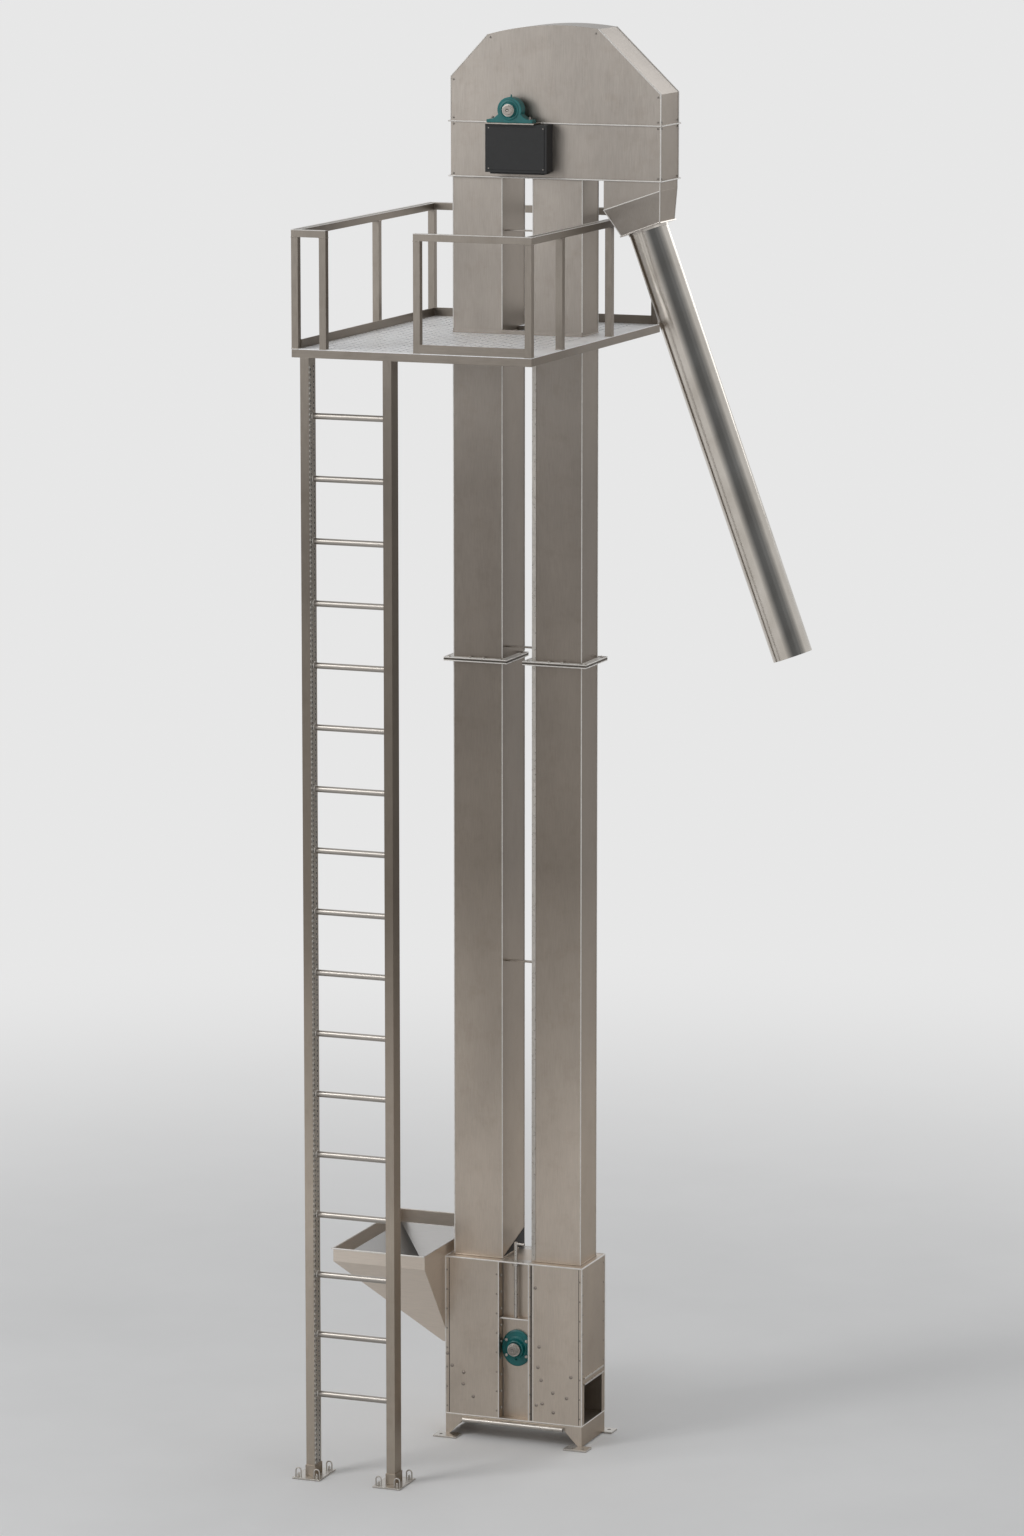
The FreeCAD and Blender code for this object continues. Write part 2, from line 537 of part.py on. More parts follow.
# Take-up: a plate, bearing, bracket and screw at each side of the boot
for side, sign in (("front", -1), ("rear", 1)):
    face = "boot_deep/2-recess_deep+seat_clearance"

    def span(near, thick):
        """Lowest Y of a slab that starts this far out from the recess face."""
        return "-(%s+%s+%s)" % (face, near, thick) if sign < 0 else "%s+%s" % (face, near)

    slide = fuse(block("-slide_wide/2", span("0", "slide_thick"), "boot_shaft_level-slide_drop",
                       "slide_wide", "slide_thick", "slide_high"),
                 block("-slide_wide/2", span("0", "lip_deep"),
                       "boot_shaft_level-slide_drop+slide_high-plate", "slide_wide", "lip_deep", "plate"))
    slide_bore = rod("Y", 0, span("-2", "slide_thick+4"), "boot_shaft_level",
                     "shaft_radius+shaft_opening", "slide_thick+4")
    socket = rod("Z", 0, span("lip_deep*0.65", "0"), "boot_shaft_level-slide_drop+slide_high-plate-1",
                 "screw_radius+bore_clearance", "plate+2")
    node("takeup_plates", cut(slide, slide_bore, socket))
    flange = fuse(*[rod("Y", 0, span("slide_thick", "flange_bearing_thick"), "boot_shaft_level" + reach,
                        radius, "flange_bearing_thick")
                    for radius, reach in (("flange_bearing_radius", ""), ("lobe_radius", "+lobe_reach"),
                                          ("lobe_radius", "-lobe_reach"))])
    hub = rod("Y", 0, span("slide_thick", "flange_bearing_thick+hub_deep"), "boot_shaft_level",
              "hub_radius", "flange_bearing_thick+hub_deep")
    hub_bore = rod("Y", 0, span("0", "2*(flange_bearing_thick+hub_deep)"), "boot_shaft_level",
                   "shaft_radius+bore_clearance", "2*(flange_bearing_thick+hub_deep)")
    node("boot_bearings", cut(fuse(flange, hub), hub_bore))
    node("boot_bearing_bolts", *[
        rod("Y", "%d*flange_bearing_radius*0.68" % sx,
            span("slide_thick+flange_bearing_thick", "bolt_high"),
            "boot_shaft_level+%d*flange_bearing_radius*0.5" % sz, "bolt_radius", "bolt_high")
        for sx in (-1, 1) for sz in (-1, 1)])
    bracket = block("-leg_gap/2+1", span("1", "recess_deep-2"), "boot_top-plate",
                    "leg_gap-2", "recess_deep-2", "plate")
    screw_y = span("lip_deep*0.65", "0")
    thread = rod("Z", 0, screw_y, "boot_top-plate-nut_high-1", "screw_radius+bore_clearance",
                 "plate+nut_high+2")
    nut = rod("Z", 0, screw_y, "boot_top-plate-nut_high", "nut_radius", "nut_high")
    node("takeup_brackets", cut(fuse(bracket, nut), thread))
    stem_low = "boot_shaft_level-slide_drop+slide_high-plate"
    stem = rod("Z", 0, screw_y, stem_low, "screw_radius", "boot_top+handle_high-(%s)" % stem_low)
    arm = rod("X", 0, screw_y, "boot_top+handle_high-screw_radius", "screw_radius*0.7", "handle_reach")
    node("takeup_screw_" + side, fuse(stem, arm))
    collar_from = span("slide_thick+flange_bearing_thick+hub_deep+seat_clearance", "boot_collar_long")
    node("boot_collars", ring("Y", 0, collar_from, "boot_shaft_level", "collar_radius",
                              "shaft_radius", "boot_collar_long"))
    rail_y = span("-seat_clearance", "slide_thick")
    rail_z = "plinth_top+wall"
    node("takeup_rails", *[
        block(x, rail_y, rail_z, "(leg_gap-slide_wide)/2-seat_clearance", "slide_thick",
              casing_high + "-5*wall")
        for x in ("-leg_gap/2", "slide_wide/2+seat_clearance")])

# Discharge: a slanted spout, a square-to-round transition and a long pipe
spout_outline = [("spout_left", "spout_low"), ("spout_right", "spout_high"),
                 ("spout_right", "head_bottom"), ("spout_left", "head_bottom")]
spout_bore = [("spout_left+wall", "spout_low-20"), ("spout_right-wall", "spout_high-20"),
              ("spout_right-wall", "head_bottom+1"), ("spout_left+wall", "head_bottom+1")]
node("discharge_spout", cut(profile("XZ_Plane", spout_outline, "head_deep-2*wall"),
                            profile("XZ_Plane", spout_bore, "head_deep-4*wall")))

pipe_top = Vector(S["pipe_top_x"], 0, S["pipe_top_z"])
pipe_way = Vector(S["pipe_end_x"], 0, S["pipe_end_z"]) - pipe_top
pipe_turn = Rotation(Vector(0, 0, 1), pipe_way)


def transition(inset):
    """Four-sided funnel from the spout's slanted mouth to a square round the pipe."""
    half = S["head_deep"] / 2 - S["wall"] - inset
    low = Vector(S["spout_left"] + inset, 0, S["spout_low"])
    high = Vector(S["spout_right"] - inset, 0, S["spout_high"])
    mouth = [low + Vector(0, -half, 0), high + Vector(0, -half, 0),
             high + Vector(0, half, 0), low + Vector(0, half, 0)]
    side = S["pipe_radius"] + S["funnel_margin"] - inset
    foot = [pipe_top + pipe_turn.multVec(Vector(x * side, y * side, 0))
            for x, y in ((1, -1), (-1, -1), (-1, 1), (1, 1))]
    wires = [Part.makePolygon(corners + corners[:1]) for corners in (mouth, foot)]
    return Part.makeLoft(wires, True, True)


cone = doc.addObject("Part::Feature", "cone")
cone.Shape = transition(0).cut(transition(S["wall"]))
node("chute_transition", cone)


def chute_ring(start, long, outer, inner):
    """A ring round the pipe's own axis, a given way below its top."""
    rods = []
    for radius, extra in ((outer, "0"), (inner, "1")):
        obj = doc.addObject("Part::Cylinder", "chute_rod")
        obj.Placement = Placement(Vector(), pipe_turn)
        obj.setExpression("Radius", bound(radius))
        obj.setExpression("Height", bound("%s+2*%s" % (long, extra)))
        run = "(%s-%s)/sqrt((pipe_end_x-pipe_top_x)^2+(pipe_end_z-pipe_top_z)^2)" % (start, extra)
        rods.append(place(obj, "pipe_top_x+(pipe_end_x-pipe_top_x)*%s" % run, 0,
                          "pipe_top_z+(pipe_end_z-pipe_top_z)*%s" % run))
    return cut(*rods)


chute_long = "sqrt((pipe_end_x-pipe_top_x)^2+(pipe_end_z-pipe_top_z)^2)"
collar_half = S["pipe_radius"] + S["collar_out"]
collar_corner = Vector(-collar_half, -collar_half, 0)
collar_plate = Part.makeBox(2 * collar_half, 2 * collar_half, S["plate"], collar_corner)
sleeve = Part.makeCylinder(S["pipe_radius"] + S["wall"], S["sleeve_long"])
collar_bore = Part.makeCylinder(S["pipe_radius"] - S["pipe_wall"], S["sleeve_long"])
chute_collar = doc.addObject("Part::Feature", "chute_collar_shape")
chute_collar.Shape = collar_plate.fuse(sleeve).cut(collar_bore)
chute_collar.Placement = Placement(pipe_top, pipe_turn)
node("chute_collar", chute_collar)
node("discharge_pipe", chute_ring("sleeve_long", chute_long + "-sleeve_long",
                                  "pipe_radius", "pipe_radius-pipe_wall"))

# Control box under the front shelf
box_y = head_front + "-box_deep"
box_z = "head_joint-wall-box_high-1"
node("control_box", block("-box_left", box_y, box_z, "box_wide", "box_deep", "box_high"))
node("control_box_lid", block("-box_left-lid_margin", box_y + "-lid_thick", box_z + "-lid_margin",
                              "box_wide+2*lid_margin", "lid_thick", "box_high+lid_margin"))
node("lid_screws", *[rod("Y", x, box_y + "-lid_thick-lid_screw_high", z,
                         "lid_screw_radius", "lid_screw_high")
                     for x in ("-box_left+bolt_inset", "box_wide-box_left-bolt_inset")
                     for z in (box_z + "+bolt_inset", box_z + "+box_high-bolt_inset-lid_margin")])

# Drive at the rear: a hollow-shaft gearbox with a motor and torque arm
gear_y = "head_deep/2+shelf_deep+gear_gap"
gear = block("-gear_wide/2", gear_y, "head_shaft_level-gear_high/2", "gear_wide", "gear_deep",
             "gear_high")
gear_boss = rod("Y", 0, gear_y, "head_shaft_level", "boss_radius", "gear_deep+boss_high")
gear_foot = block("-gear_wide/2-boss_high", gear_y + "+boss_high", "head_shaft_level-gear_high/2+boss_high",
                  "gear_wide+2*boss_high", "gear_deep-2*boss_high", "gear_high/2")
gear_bore = rod("Y", 0, gear_y + "-1", "head_shaft_level", "shaft_radius+bore_clearance",
                "gear_deep+boss_high+2")
node("gearbox", cut(fuse(gear, gear_boss, gear_foot), gear_bore))
motor_x = "gear_wide/2+boss_high"
motor_y = gear_y + "+gear_deep/2"
motor_z = "head_shaft_level-gear_high/4"
node("drive_motor", fuse(rod("X", motor_x, motor_y, motor_z, "motor_radius", "motor_long"),
                         rod("X", motor_x, motor_y, motor_z, "motor_flange_radius", "boss_high"),
                         rod("X", motor_x + "+motor_long-fan_cover_long", motor_y, motor_z,
                             "motor_flange_radius", "fan_cover_long")))
node("torque_arm", block("-gear_wide/2", "head_deep/2", "head_shaft_level-gear_high/2+arm_high/2",
                         "arm_thick", "shelf_deep+gear_gap", "arm_high"))

# Platform: frame, deck, toe boards, collar and railings
deck_long = "deck_left+deck_right"
deck_wide = "deck_front+deck_back"
frame_z = "deck_level-frame_high"
inner_wide = deck_wide + "-2*frame_wide"
beams = [tube("-deck_left", y, frame_z, deck_long, "frame_wide", "frame_high", "X")
         for y in ("-deck_front", "deck_back-frame_wide")]
beams += [tube(x, "-deck_front+frame_wide", frame_z, "frame_wide", inner_wide, "frame_high", "Y")
          for x in ("-deck_left", "deck_right-frame_wide")]
beams += [tube("-deck_left+frame_wide", y, frame_z, deck_long + "-2*frame_wide", "frame_wide",
               "frame_high", "X") for y in ("-leg_deep/2-wall-frame_wide", "leg_deep/2")]
node("platform_frame", *beams)
deck = block("-deck_left", "-deck_front", "deck_level", deck_long, deck_wide, "deck_thick")
deck_holes = [block(x + "-seat_clearance", "-leg_deep/2-seat_clearance", "deck_level-1",
                    "leg_wide+2*seat_clearance", "leg_deep+2*seat_clearance", "deck_thick+2")
              for x in leg_x.values()]
node("platform_deck", cut(deck, *deck_holes))
deck_face = "deck_level+deck_thick"
post_x = "deck_right-post"
toe_run_front = "gate_right+deck_right-2*post"
node("toe_boards",
     block("-gate_right+post", "-deck_front", deck_face, toe_run_front, "toe_thick", "toe_high"),
     block("-deck_left+post", "-deck_front+post", deck_face, "toe_thick", deck_wide + "-2*post-toe_thick",
           "toe_high"),
     block("-deck_left+post", "deck_back-post-toe_thick", deck_face, deck_long + "-2*post",
           "toe_thick", "toe_high"))
node("leg_brackets", *[
    block("-leg_gap/2-leg_wide", y, deck_face, "leg_gap+2*leg_wide", "wall", "collar_high")
    for y in ("-leg_deep/2-wall", "leg_deep/2")])
rail_low = "rail_top-post"
post_high = rail_low + "-(deck_level+deck_thick)"


def post_at(x, y):
    return tube(x, y, deck_face, "post", "post", post_high, "Z")


def rail_tube(x, y, long, wide, along):
    return tube(x, y, rail_low, long, wide, "post", along)


node("railing_left", post_at("-deck_left", "-deck_front"), post_at("-gate_left-post", "-deck_front"),
     post_at("-deck_left", "-deck_front+(deck_front+deck_back)*0.57"),
     post_at("-deck_left", "deck_back-post"),
     rail_tube("-deck_left", "-deck_front", "deck_left-gate_left", "post", "X"),
     rail_tube("-deck_left", "-deck_front+post", "post", deck_wide + "-2*post", "Y"),
     rail_tube("-deck_left", "deck_back-post", deck_long, "post", "X"))
node("railing_right", post_at("-gate_right", "-deck_front"), post_at(post_x, "-deck_front"),
     post_at(post_x, "-deck_front+(deck_front+deck_back)*0.23"),
     post_at(post_x, "-deck_front+(deck_front+deck_back)*0.61"), post_at(post_x, "deck_back-post"),
     rail_tube("-gate_right", "-deck_front", "gate_right+deck_right", "post", "X"),
     rail_tube(post_x, "-deck_front+post", "post", deck_wide + "-2*post", "Y"))

# Ladder: a perforated channel at the left, a box tube at the right, and tube rungs
stile_high = "deck_level-frame_high-foot_thick"
left_x, right_x = "-ladder_left", "-ladder_right-stile_wide"
hole_share = 0.28
hole_x = -S["ladder_left"] + S["stile_wide"] - 2 * S["wall"]
hole_y = -S["deck_front"] + S["stile_deep"] * hole_share
hole_count = int((S["deck_level"] - S["frame_high"] - 2 * S["hole_start"]) / S["hole_pitch"])
holes = doc.addObject("Part::Feature", "stile_holes")
holes.Shape = Part.Compound([
    Part.makeCylinder(S["hole_radius"], 3 * S["wall"],
                      Vector(hole_x, hole_y, S["hole_start"] + index * S["hole_pitch"]),
                      Vector(1, 0, 0))
    for index in range(hole_count)])
channel = fuse(block(left_x, "-deck_front", "foot_thick", "stile_wide", "wall", stile_high),
               block(left_x, "-deck_front+stile_deep-wall", "foot_thick", "stile_wide", "wall",
                     stile_high),
               block(left_x + "+stile_wide-wall", "-deck_front", "foot_thick", "wall", "stile_deep",
                     stile_high))
node("ladder_rail_left", cut(channel, holes))
node("ladder_rail_right", tube(right_x, "-deck_front", "foot_thick", "stile_wide", "stile_deep",
                               stile_high, "Z", "wall"))
rung_from, rung_long = left_x + "+stile_wide", "ladder_left-ladder_right-2*stile_wide"
node("ladder_rungs", *[ring("X", rung_from, "-deck_front+stile_deep/2+8", "rung_first+%d*rung_pitch" % index,
                            "rung_radius", "rung_radius-post_wall", rung_long)
                       for index in range(S["rung_count"])])
foot_plates, anchors = [], []
for x in (left_x, right_x):
    foot_x = x + "+stile_wide/2-ladder_foot_long/2"
    plate = block(foot_x, "-deck_front+stile_deep/2-ladder_foot_wide/2", 0,
                  "ladder_foot_long", "ladder_foot_wide", "foot_thick")
    foot_plates.append(plate)
    for along in (0.16, 0.84):
        for across in (0.12, 0.88):
            anchors.append(rod("Z", "%s+ladder_foot_long*%s" % (foot_x, along),
                               "-deck_front+stile_deep/2+ladder_foot_wide*%s" % (across - 0.5),
                               "foot_thick", "anchor_bolt_radius", "anchor_bolt_high"))
node("ladder_feet", *foot_plates)
node("ladder_anchor_bolts", *anchors)

doc.removeObject(probe.Name)
NODES = []
for label, pieces in PIECES.items():
    obj = pieces[0] if len(pieces) == 1 else group(pieces)
    obj.Label = label
    NODES.append(obj)
doc.recompute()
for obj in doc.Objects:
    if "Invalid" in obj.State or "Error" in obj.State:
        raise RuntimeError("%s (%s) failed: %s" % (obj.Name, obj.Label, obj.State))
for obj in NODES:
    if obj.Shape.isNull() or not obj.Shape.isValid() or not obj.Shape.Solids:
        raise RuntimeError("%s has no valid solid" % obj.Label)
os.makedirs("parts", exist_ok=True)
for obj in NODES:
    obj.Shape.exportStep("parts/%s.step" % obj.Label)
print(len(NODES), "nodes")
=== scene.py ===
import bmesh
import bpy
import math
import random
from mathutils import Matrix, Vector


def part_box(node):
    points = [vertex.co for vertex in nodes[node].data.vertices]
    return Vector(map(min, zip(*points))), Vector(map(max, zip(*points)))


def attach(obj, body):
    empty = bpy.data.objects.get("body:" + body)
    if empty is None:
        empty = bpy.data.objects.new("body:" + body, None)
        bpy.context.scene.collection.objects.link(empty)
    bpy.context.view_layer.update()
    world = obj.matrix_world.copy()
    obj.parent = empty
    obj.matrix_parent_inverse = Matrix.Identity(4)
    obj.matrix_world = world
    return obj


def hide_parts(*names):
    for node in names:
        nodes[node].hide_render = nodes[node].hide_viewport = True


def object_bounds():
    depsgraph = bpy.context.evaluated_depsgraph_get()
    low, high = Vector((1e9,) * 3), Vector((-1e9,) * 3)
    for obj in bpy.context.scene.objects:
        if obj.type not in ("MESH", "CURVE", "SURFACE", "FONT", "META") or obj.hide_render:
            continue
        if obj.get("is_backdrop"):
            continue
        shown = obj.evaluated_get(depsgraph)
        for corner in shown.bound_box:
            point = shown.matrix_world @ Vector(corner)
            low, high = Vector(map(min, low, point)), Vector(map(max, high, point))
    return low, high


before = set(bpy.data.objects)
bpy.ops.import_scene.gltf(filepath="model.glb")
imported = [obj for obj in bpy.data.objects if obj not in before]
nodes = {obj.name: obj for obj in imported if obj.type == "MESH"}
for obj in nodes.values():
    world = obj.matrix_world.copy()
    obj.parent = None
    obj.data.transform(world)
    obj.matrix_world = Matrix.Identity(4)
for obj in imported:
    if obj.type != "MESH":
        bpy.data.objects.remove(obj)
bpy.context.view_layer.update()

random.seed(7)

# Camera at the photograph's angle
TARGET = Vector((-0.0713, 0, 3.3803))
AZIMUTH, ELEVATION = math.radians(21.4), math.radians(9.8)
DISTANCE = 30.4295
LENS = 144.77
away = Vector((math.sin(AZIMUTH) * math.cos(ELEVATION),
               -math.cos(AZIMUTH) * math.cos(ELEVATION), math.sin(ELEVATION)))
camera_data = bpy.data.cameras.new("camera")
camera = bpy.data.objects.new("camera", camera_data)
bpy.context.scene.collection.objects.link(camera)
camera.location = TARGET + away * DISTANCE
camera.rotation_euler = (-away).to_track_quat("-Z", "Y").to_euler()
camera_data.lens = LENS
camera_data.sensor_width = 36
camera_data.clip_end = 200
bpy.context.scene.camera = camera
bpy.context.scene.view_settings.view_transform = "Standard"


# Materials
class Nodes:
    """A short way to add and join shader nodes."""

    def __init__(self, name):
        self.material = bpy.data.materials.new(name)
        self.material.use_nodes = True
        self.tree = self.material.node_tree
        self.shader = self.tree.nodes["Principled BSDF"]
        self.position = self.add("ShaderNodeTexCoord").outputs["Object"]

    def add(self, kind, **values):
        made = self.tree.nodes.new(kind)
        for key, value in values.items():
            setattr(made, key, value)
        return made

    def link(self, source, target):
        self.tree.links.new(source, target)

    def noise(self, scale, stretch=(1, 1, 1), detail=4, rough=0.55):
        mapping = self.add("ShaderNodeMapping")
        mapping.inputs["Scale"].default_value = stretch
        self.link(self.position, mapping.inputs["Vector"])
        made = self.add("ShaderNodeTexNoise")
        made.inputs["Scale"].default_value = scale
        made.inputs["Detail"].default_value = detail
        made.inputs["Roughness"].default_value = rough
        self.link(mapping.outputs["Vector"], made.inputs["Vector"])
        return made.outputs["Fac"]

    def ramp(self, source, low, high, start=0.3, end=0.7):
        made = self.add("ShaderNodeValToRGB")
        made.color_ramp.elements[0].position = start
        made.color_ramp.elements[1].position = end
        made.color_ramp.elements[0].color = (*low, 1)
        made.color_ramp.elements[1].color = (*high, 1)
        self.link(source, made.inputs["Fac"])
        return made.outputs["Color"]

    def span(self, source, low, high, start=0.3, end=0.7):
        made = self.add("ShaderNodeMapRange")
        for key, value in (("From Min", start), ("From Max", end), ("To Min", low), ("To Max", high)):
            made.inputs[key].default_value = value
        self.link(source, made.inputs["Value"])
        return made.outputs["Result"]

    def mix(self, first, second, share, mode="MIX"):
        made = self.add("ShaderNodeMix", data_type="RGBA", blend_type=mode)
        self.put(made.inputs["Factor"], share)
        self.put(made.inputs[6], first)
        self.put(made.inputs[7], second)
        return made.outputs[2]

    def put(self, target, value):
        if isinstance(value, bpy.types.NodeSocket):
            self.link(value, target)
        elif isinstance(value, tuple):
            target.default_value = (*value, 1)
        else:
            target.default_value = value

    def bump(self, height, distance, strength=0.5, soft_edge=0.002):
        rounded = self.add("ShaderNodeBevel", samples=4)
        rounded.inputs["Radius"].default_value = soft_edge
        made = self.add("ShaderNodeBump")
        made.inputs["Strength"].default_value = strength
        made.inputs["Distance"].default_value = distance
        self.link(height, made.inputs["Height"])
        self.link(rounded.outputs["Normal"], made.inputs["Normal"])
        self.link(made.outputs["Normal"], self.shader.inputs["Normal"])


def shade(colour, amount):
    return tuple(min(1, channel * amount) for channel in colour)


# Painted light and shade on the sheets at each height in metres, and painted shade on their faces toward +X
TALL = 7.0
PAINTED_SIDE_SHADE = (0.70, 0.655, 0.60)
PAINTED_LIGHT_BY_HEIGHT = ((0.0, (1.0, 0.955, 0.90)), (1.2, (1.0, 0.955, 0.905)), (2.9, (0.42, 0.395, 0.365)),
         (4.8, (0.41, 0.395, 0.38)), (5.7, (0.64, 0.63, 0.62)), (7.0, (0.58, 0.575, 0.57)))


def paint_light_and_shade(made, source, painted_side_shade):
    """Painted light and shade: warm and light near the floor, duller half-way up, and darker on the faces
    toward +X as painted shade.
    """
    split = made.add("ShaderNodeSeparateXYZ")
    made.link(made.position, split.inputs[0])
    height_light = made.add("ShaderNodeValToRGB")
    made.link(made.span(split.outputs["Z"], 0, 1, 0, TALL), height_light.inputs["Fac"])
    stops = height_light.color_ramp.elements
    for level, colour in PAINTED_LIGHT_BY_HEIGHT[1:-1]:
        stops.new(level / TALL)
    for stop, (level, colour) in zip(stops, PAINTED_LIGHT_BY_HEIGHT):
        stop.position = level / TALL
        stop.color = (*colour, 1)
    facing = made.add("ShaderNodeSeparateXYZ")
    made.link(made.add("ShaderNodeTexCoord").outputs["Normal"], facing.inputs[0])
    side_shade = made.ramp(facing.outputs["X"], (1, 1, 1), painted_side_shade, 0.55, 0.85)
    return made.mix(made.mix(source, height_light.outputs["Color"], 1.0, "MULTIPLY"), side_shade, 1.0, "MULTIPLY")


def steel(name, colour, roughness, metal=1.0, grain=(30, 30, 1), contrast=0.16,
          grain_depth=0.0002, painted_side_shade=None):
    """Satin sheet with long brush lines, soft mill clouds and slightly worn patches."""
    made = Nodes(name)
    cloud = made.noise(1.6, (1, 1, 0.45), 5)
    base = made.ramp(cloud, shade(colour, 1 - contrast), shade(colour, 1 + contrast * 0.7))
    lines = made.noise(14, grain, 3)
    lined = made.ramp(lines, shade((1, 1, 1), 0.86), (1, 1, 1), 0.35, 0.65)
    smudge = made.ramp(made.noise(9, (1, 1, 1), 6, 0.7), (0.9, 0.88, 0.86), (1, 1, 1), 0.32, 0.5)
    tinted = made.mix(base, lined, 0.75, "MULTIPLY")
    surface = made.mix(tinted, smudge, 0.6, "MULTIPLY")
    # With a side shade given: painted light and shade by height, and painted shade on the faces toward +X
    if painted_side_shade:
        surface = paint_light_and_shade(made, surface, painted_side_shade)
    made.link(surface, made.shader.inputs["Base Color"])
    made.shader.inputs["Metallic"].default_value = metal
    made.link(made.span(lines, roughness - 0.05, roughness + 0.08), made.shader.inputs["Roughness"])
    made.bump(lines, grain_depth, 0.35)
    return made.material


def paint(name, colour, roughness, speckle=220, coat=0.3):
    """Enamel on a casting: fine orange peel, random darker patches and a light coat."""
    made = Nodes(name)
    base = made.ramp(made.noise(18, (1, 1, 1), 5), shade(colour, 0.75), shade(colour, 1.2))
    dust = made.ramp(made.noise(60, (1, 1, 1), 4), (0.85, 0.85, 0.85), (1, 1, 1), 0.3, 0.5)
    made.link(made.mix(base, dust, 0.5, "MULTIPLY"), made.shader.inputs["Base Color"])
    peel = made.noise(speckle, (1, 1, 1), 3)
    made.link(made.span(peel, roughness - 0.06, roughness + 0.08), made.shader.inputs["Roughness"])
    made.shader.inputs["Coat Weight"].default_value = coat
    made.shader.inputs["Coat Roughness"].default_value = 0.2
    made.bump(peel, 0.0006, 0.4)
    return made.material


FRAME = (0.47, 0.425, 0.375)
SMOOTH = 0.00002
satin = steel("satin_steel", (0.60, 0.55, 0.50), 0.36, painted_side_shade=PAINTED_SIDE_SHADE)
frame_steel = steel("frame_steel", FRAME, 0.34, painted_side_shade=PAINTED_SIDE_SHADE)
frame_across = steel("frame_steel_across", FRAME, 0.34, grain=(1, 1, 30), painted_side_shade=PAINTED_SIDE_SHADE)
perforated_face = steel("perforated_face", (0.42, 0.385, 0.34), 0.34)
rung_steel = steel("rung_steel", (0.43, 0.40, 0.365), 0.32, grain=(30, 1, 30), contrast=0.1)
# Dark steel for the pulleys, take-up rails, shaft ends and lid screws, and painted shade on the head bolts
dark_steel_and_shade = steel("dark_steel_and_painted_shade", (0.30, 0.275, 0.25), 0.45)
polished = steel("polished_steel", (0.56, 0.52, 0.475), 0.17, grain=(24, 24, 1), contrast=0.2)
bright = steel("bright_steel", (0.56, 0.53, 0.49), 0.3, grain=(4, 4, 4), contrast=0.1,
               grain_depth=SMOOTH)
deck_steel = steel("deck_steel", (1.0, 0.99, 0.99), 0.42, metal=0.15, grain=(5, 5, 5), contrast=0.08,
                   grain_depth=0.001)
rib_steel_painted_shade = steel("rib_steel_painted_shade", (0.62, 0.62, 0.63), 0.3, metal=0.6, grain=(5, 5, 5), contrast=0.1)
# Near-white steel for painted highlights along edges and lips
painted_highlight_steel = steel("painted_highlight_steel", (0.86, 0.83, 0.79), 0.42, metal=0.15, grain=(4, 4, 4), contrast=0.05,
                   grain_depth=SMOOTH)
bolt_steel_painted_shade = steel("bolt_steel_painted_shade", (0.34, 0.30, 0.265), 0.35, grain=(4, 4, 4), contrast=0.1,
                   grain_depth=SMOOTH)
dark_joints_and_painted_shade = paint("dark_joints_and_painted_shade", (0.03, 0.027, 0.024), 0.7, coat=0.0)
teal = paint("teal_casting", (0.0, 0.135, 0.135), 0.38, coat=0.1)
black = paint("black_box", (0.008, 0.008, 0.0085), 0.6, 500, 0.0)
belt_black = paint("belt_rubber", (0.02, 0.02, 0.02), 0.7, 300, 0.0)
bucket_white = paint("bucket_plastic", (0.62, 0.6, 0.55), 0.45, 300, 0.1)


def pipe_painted_reflection():
    """Polished tube with one dark band along its front, a painted reflection."""
    reflection_band_faces = (0.582, -0.813, 0)
    made = Nodes("pipe_painted_reflection")
    facing = made.add("ShaderNodeVectorMath", operation="DOT_PRODUCT")
    made.link(made.add("ShaderNodeTexCoord").outputs["Normal"], facing.inputs[0])
    facing.inputs[1].default_value = reflection_band_faces
    # Painted reflection: a dark band on the faces turned toward the front
    reflection_band = made.ramp(facing.outputs["Value"], (1, 1, 1), (0.2, 0.21, 0.22), 0.84, 0.96)
    base = made.ramp(made.noise(9, (1, 1, 0.6), 5), (0.5, 0.46, 0.41), (0.62, 0.58, 0.53))
    made.link(made.mix(base, reflection_band, 1.0, "MULTIPLY"), made.shader.inputs["Base Color"])
    made.shader.inputs["Metallic"].default_value = 1.0
    lines = made.noise(16, (24, 24, 1), 3)
    made.link(made.span(lines, 0.13, 0.24), made.shader.inputs["Roughness"])
    made.bump(lines, 0.0001, 0.3)
    return made.material


def hopper_sheet_painted_shade():
    """Satin sheet, warm outside, with painted shade that makes the slopes facing the sky darker and cooler.
    """
    made = Nodes("hopper_sheet_painted_shade")
    split = made.add("ShaderNodeSeparateXYZ")
    made.link(made.add("ShaderNodeTexCoord").outputs["Normal"], split.inputs[0])
    # Painted shade: faces that point up are given a darker, cooler colour
    base = made.ramp(split.outputs["Z"], (0.72, 0.64, 0.56), (0.25, 0.245, 0.24), 0.0, 0.3)
    lines = made.noise(14, (1, 1, 30), 3)
    lined = made.ramp(lines, (0.88, 0.88, 0.88), (1, 1, 1), 0.35, 0.65)
    made.link(made.mix(base, lined, 0.75, "MULTIPLY"), made.shader.inputs["Base Color"])
    made.shader.inputs["Metallic"].default_value = 1.0
    made.link(made.span(lines, 0.32, 0.44), made.shader.inputs["Roughness"])
    made.bump(lines, 0.0002, 0.35)
    return made.material


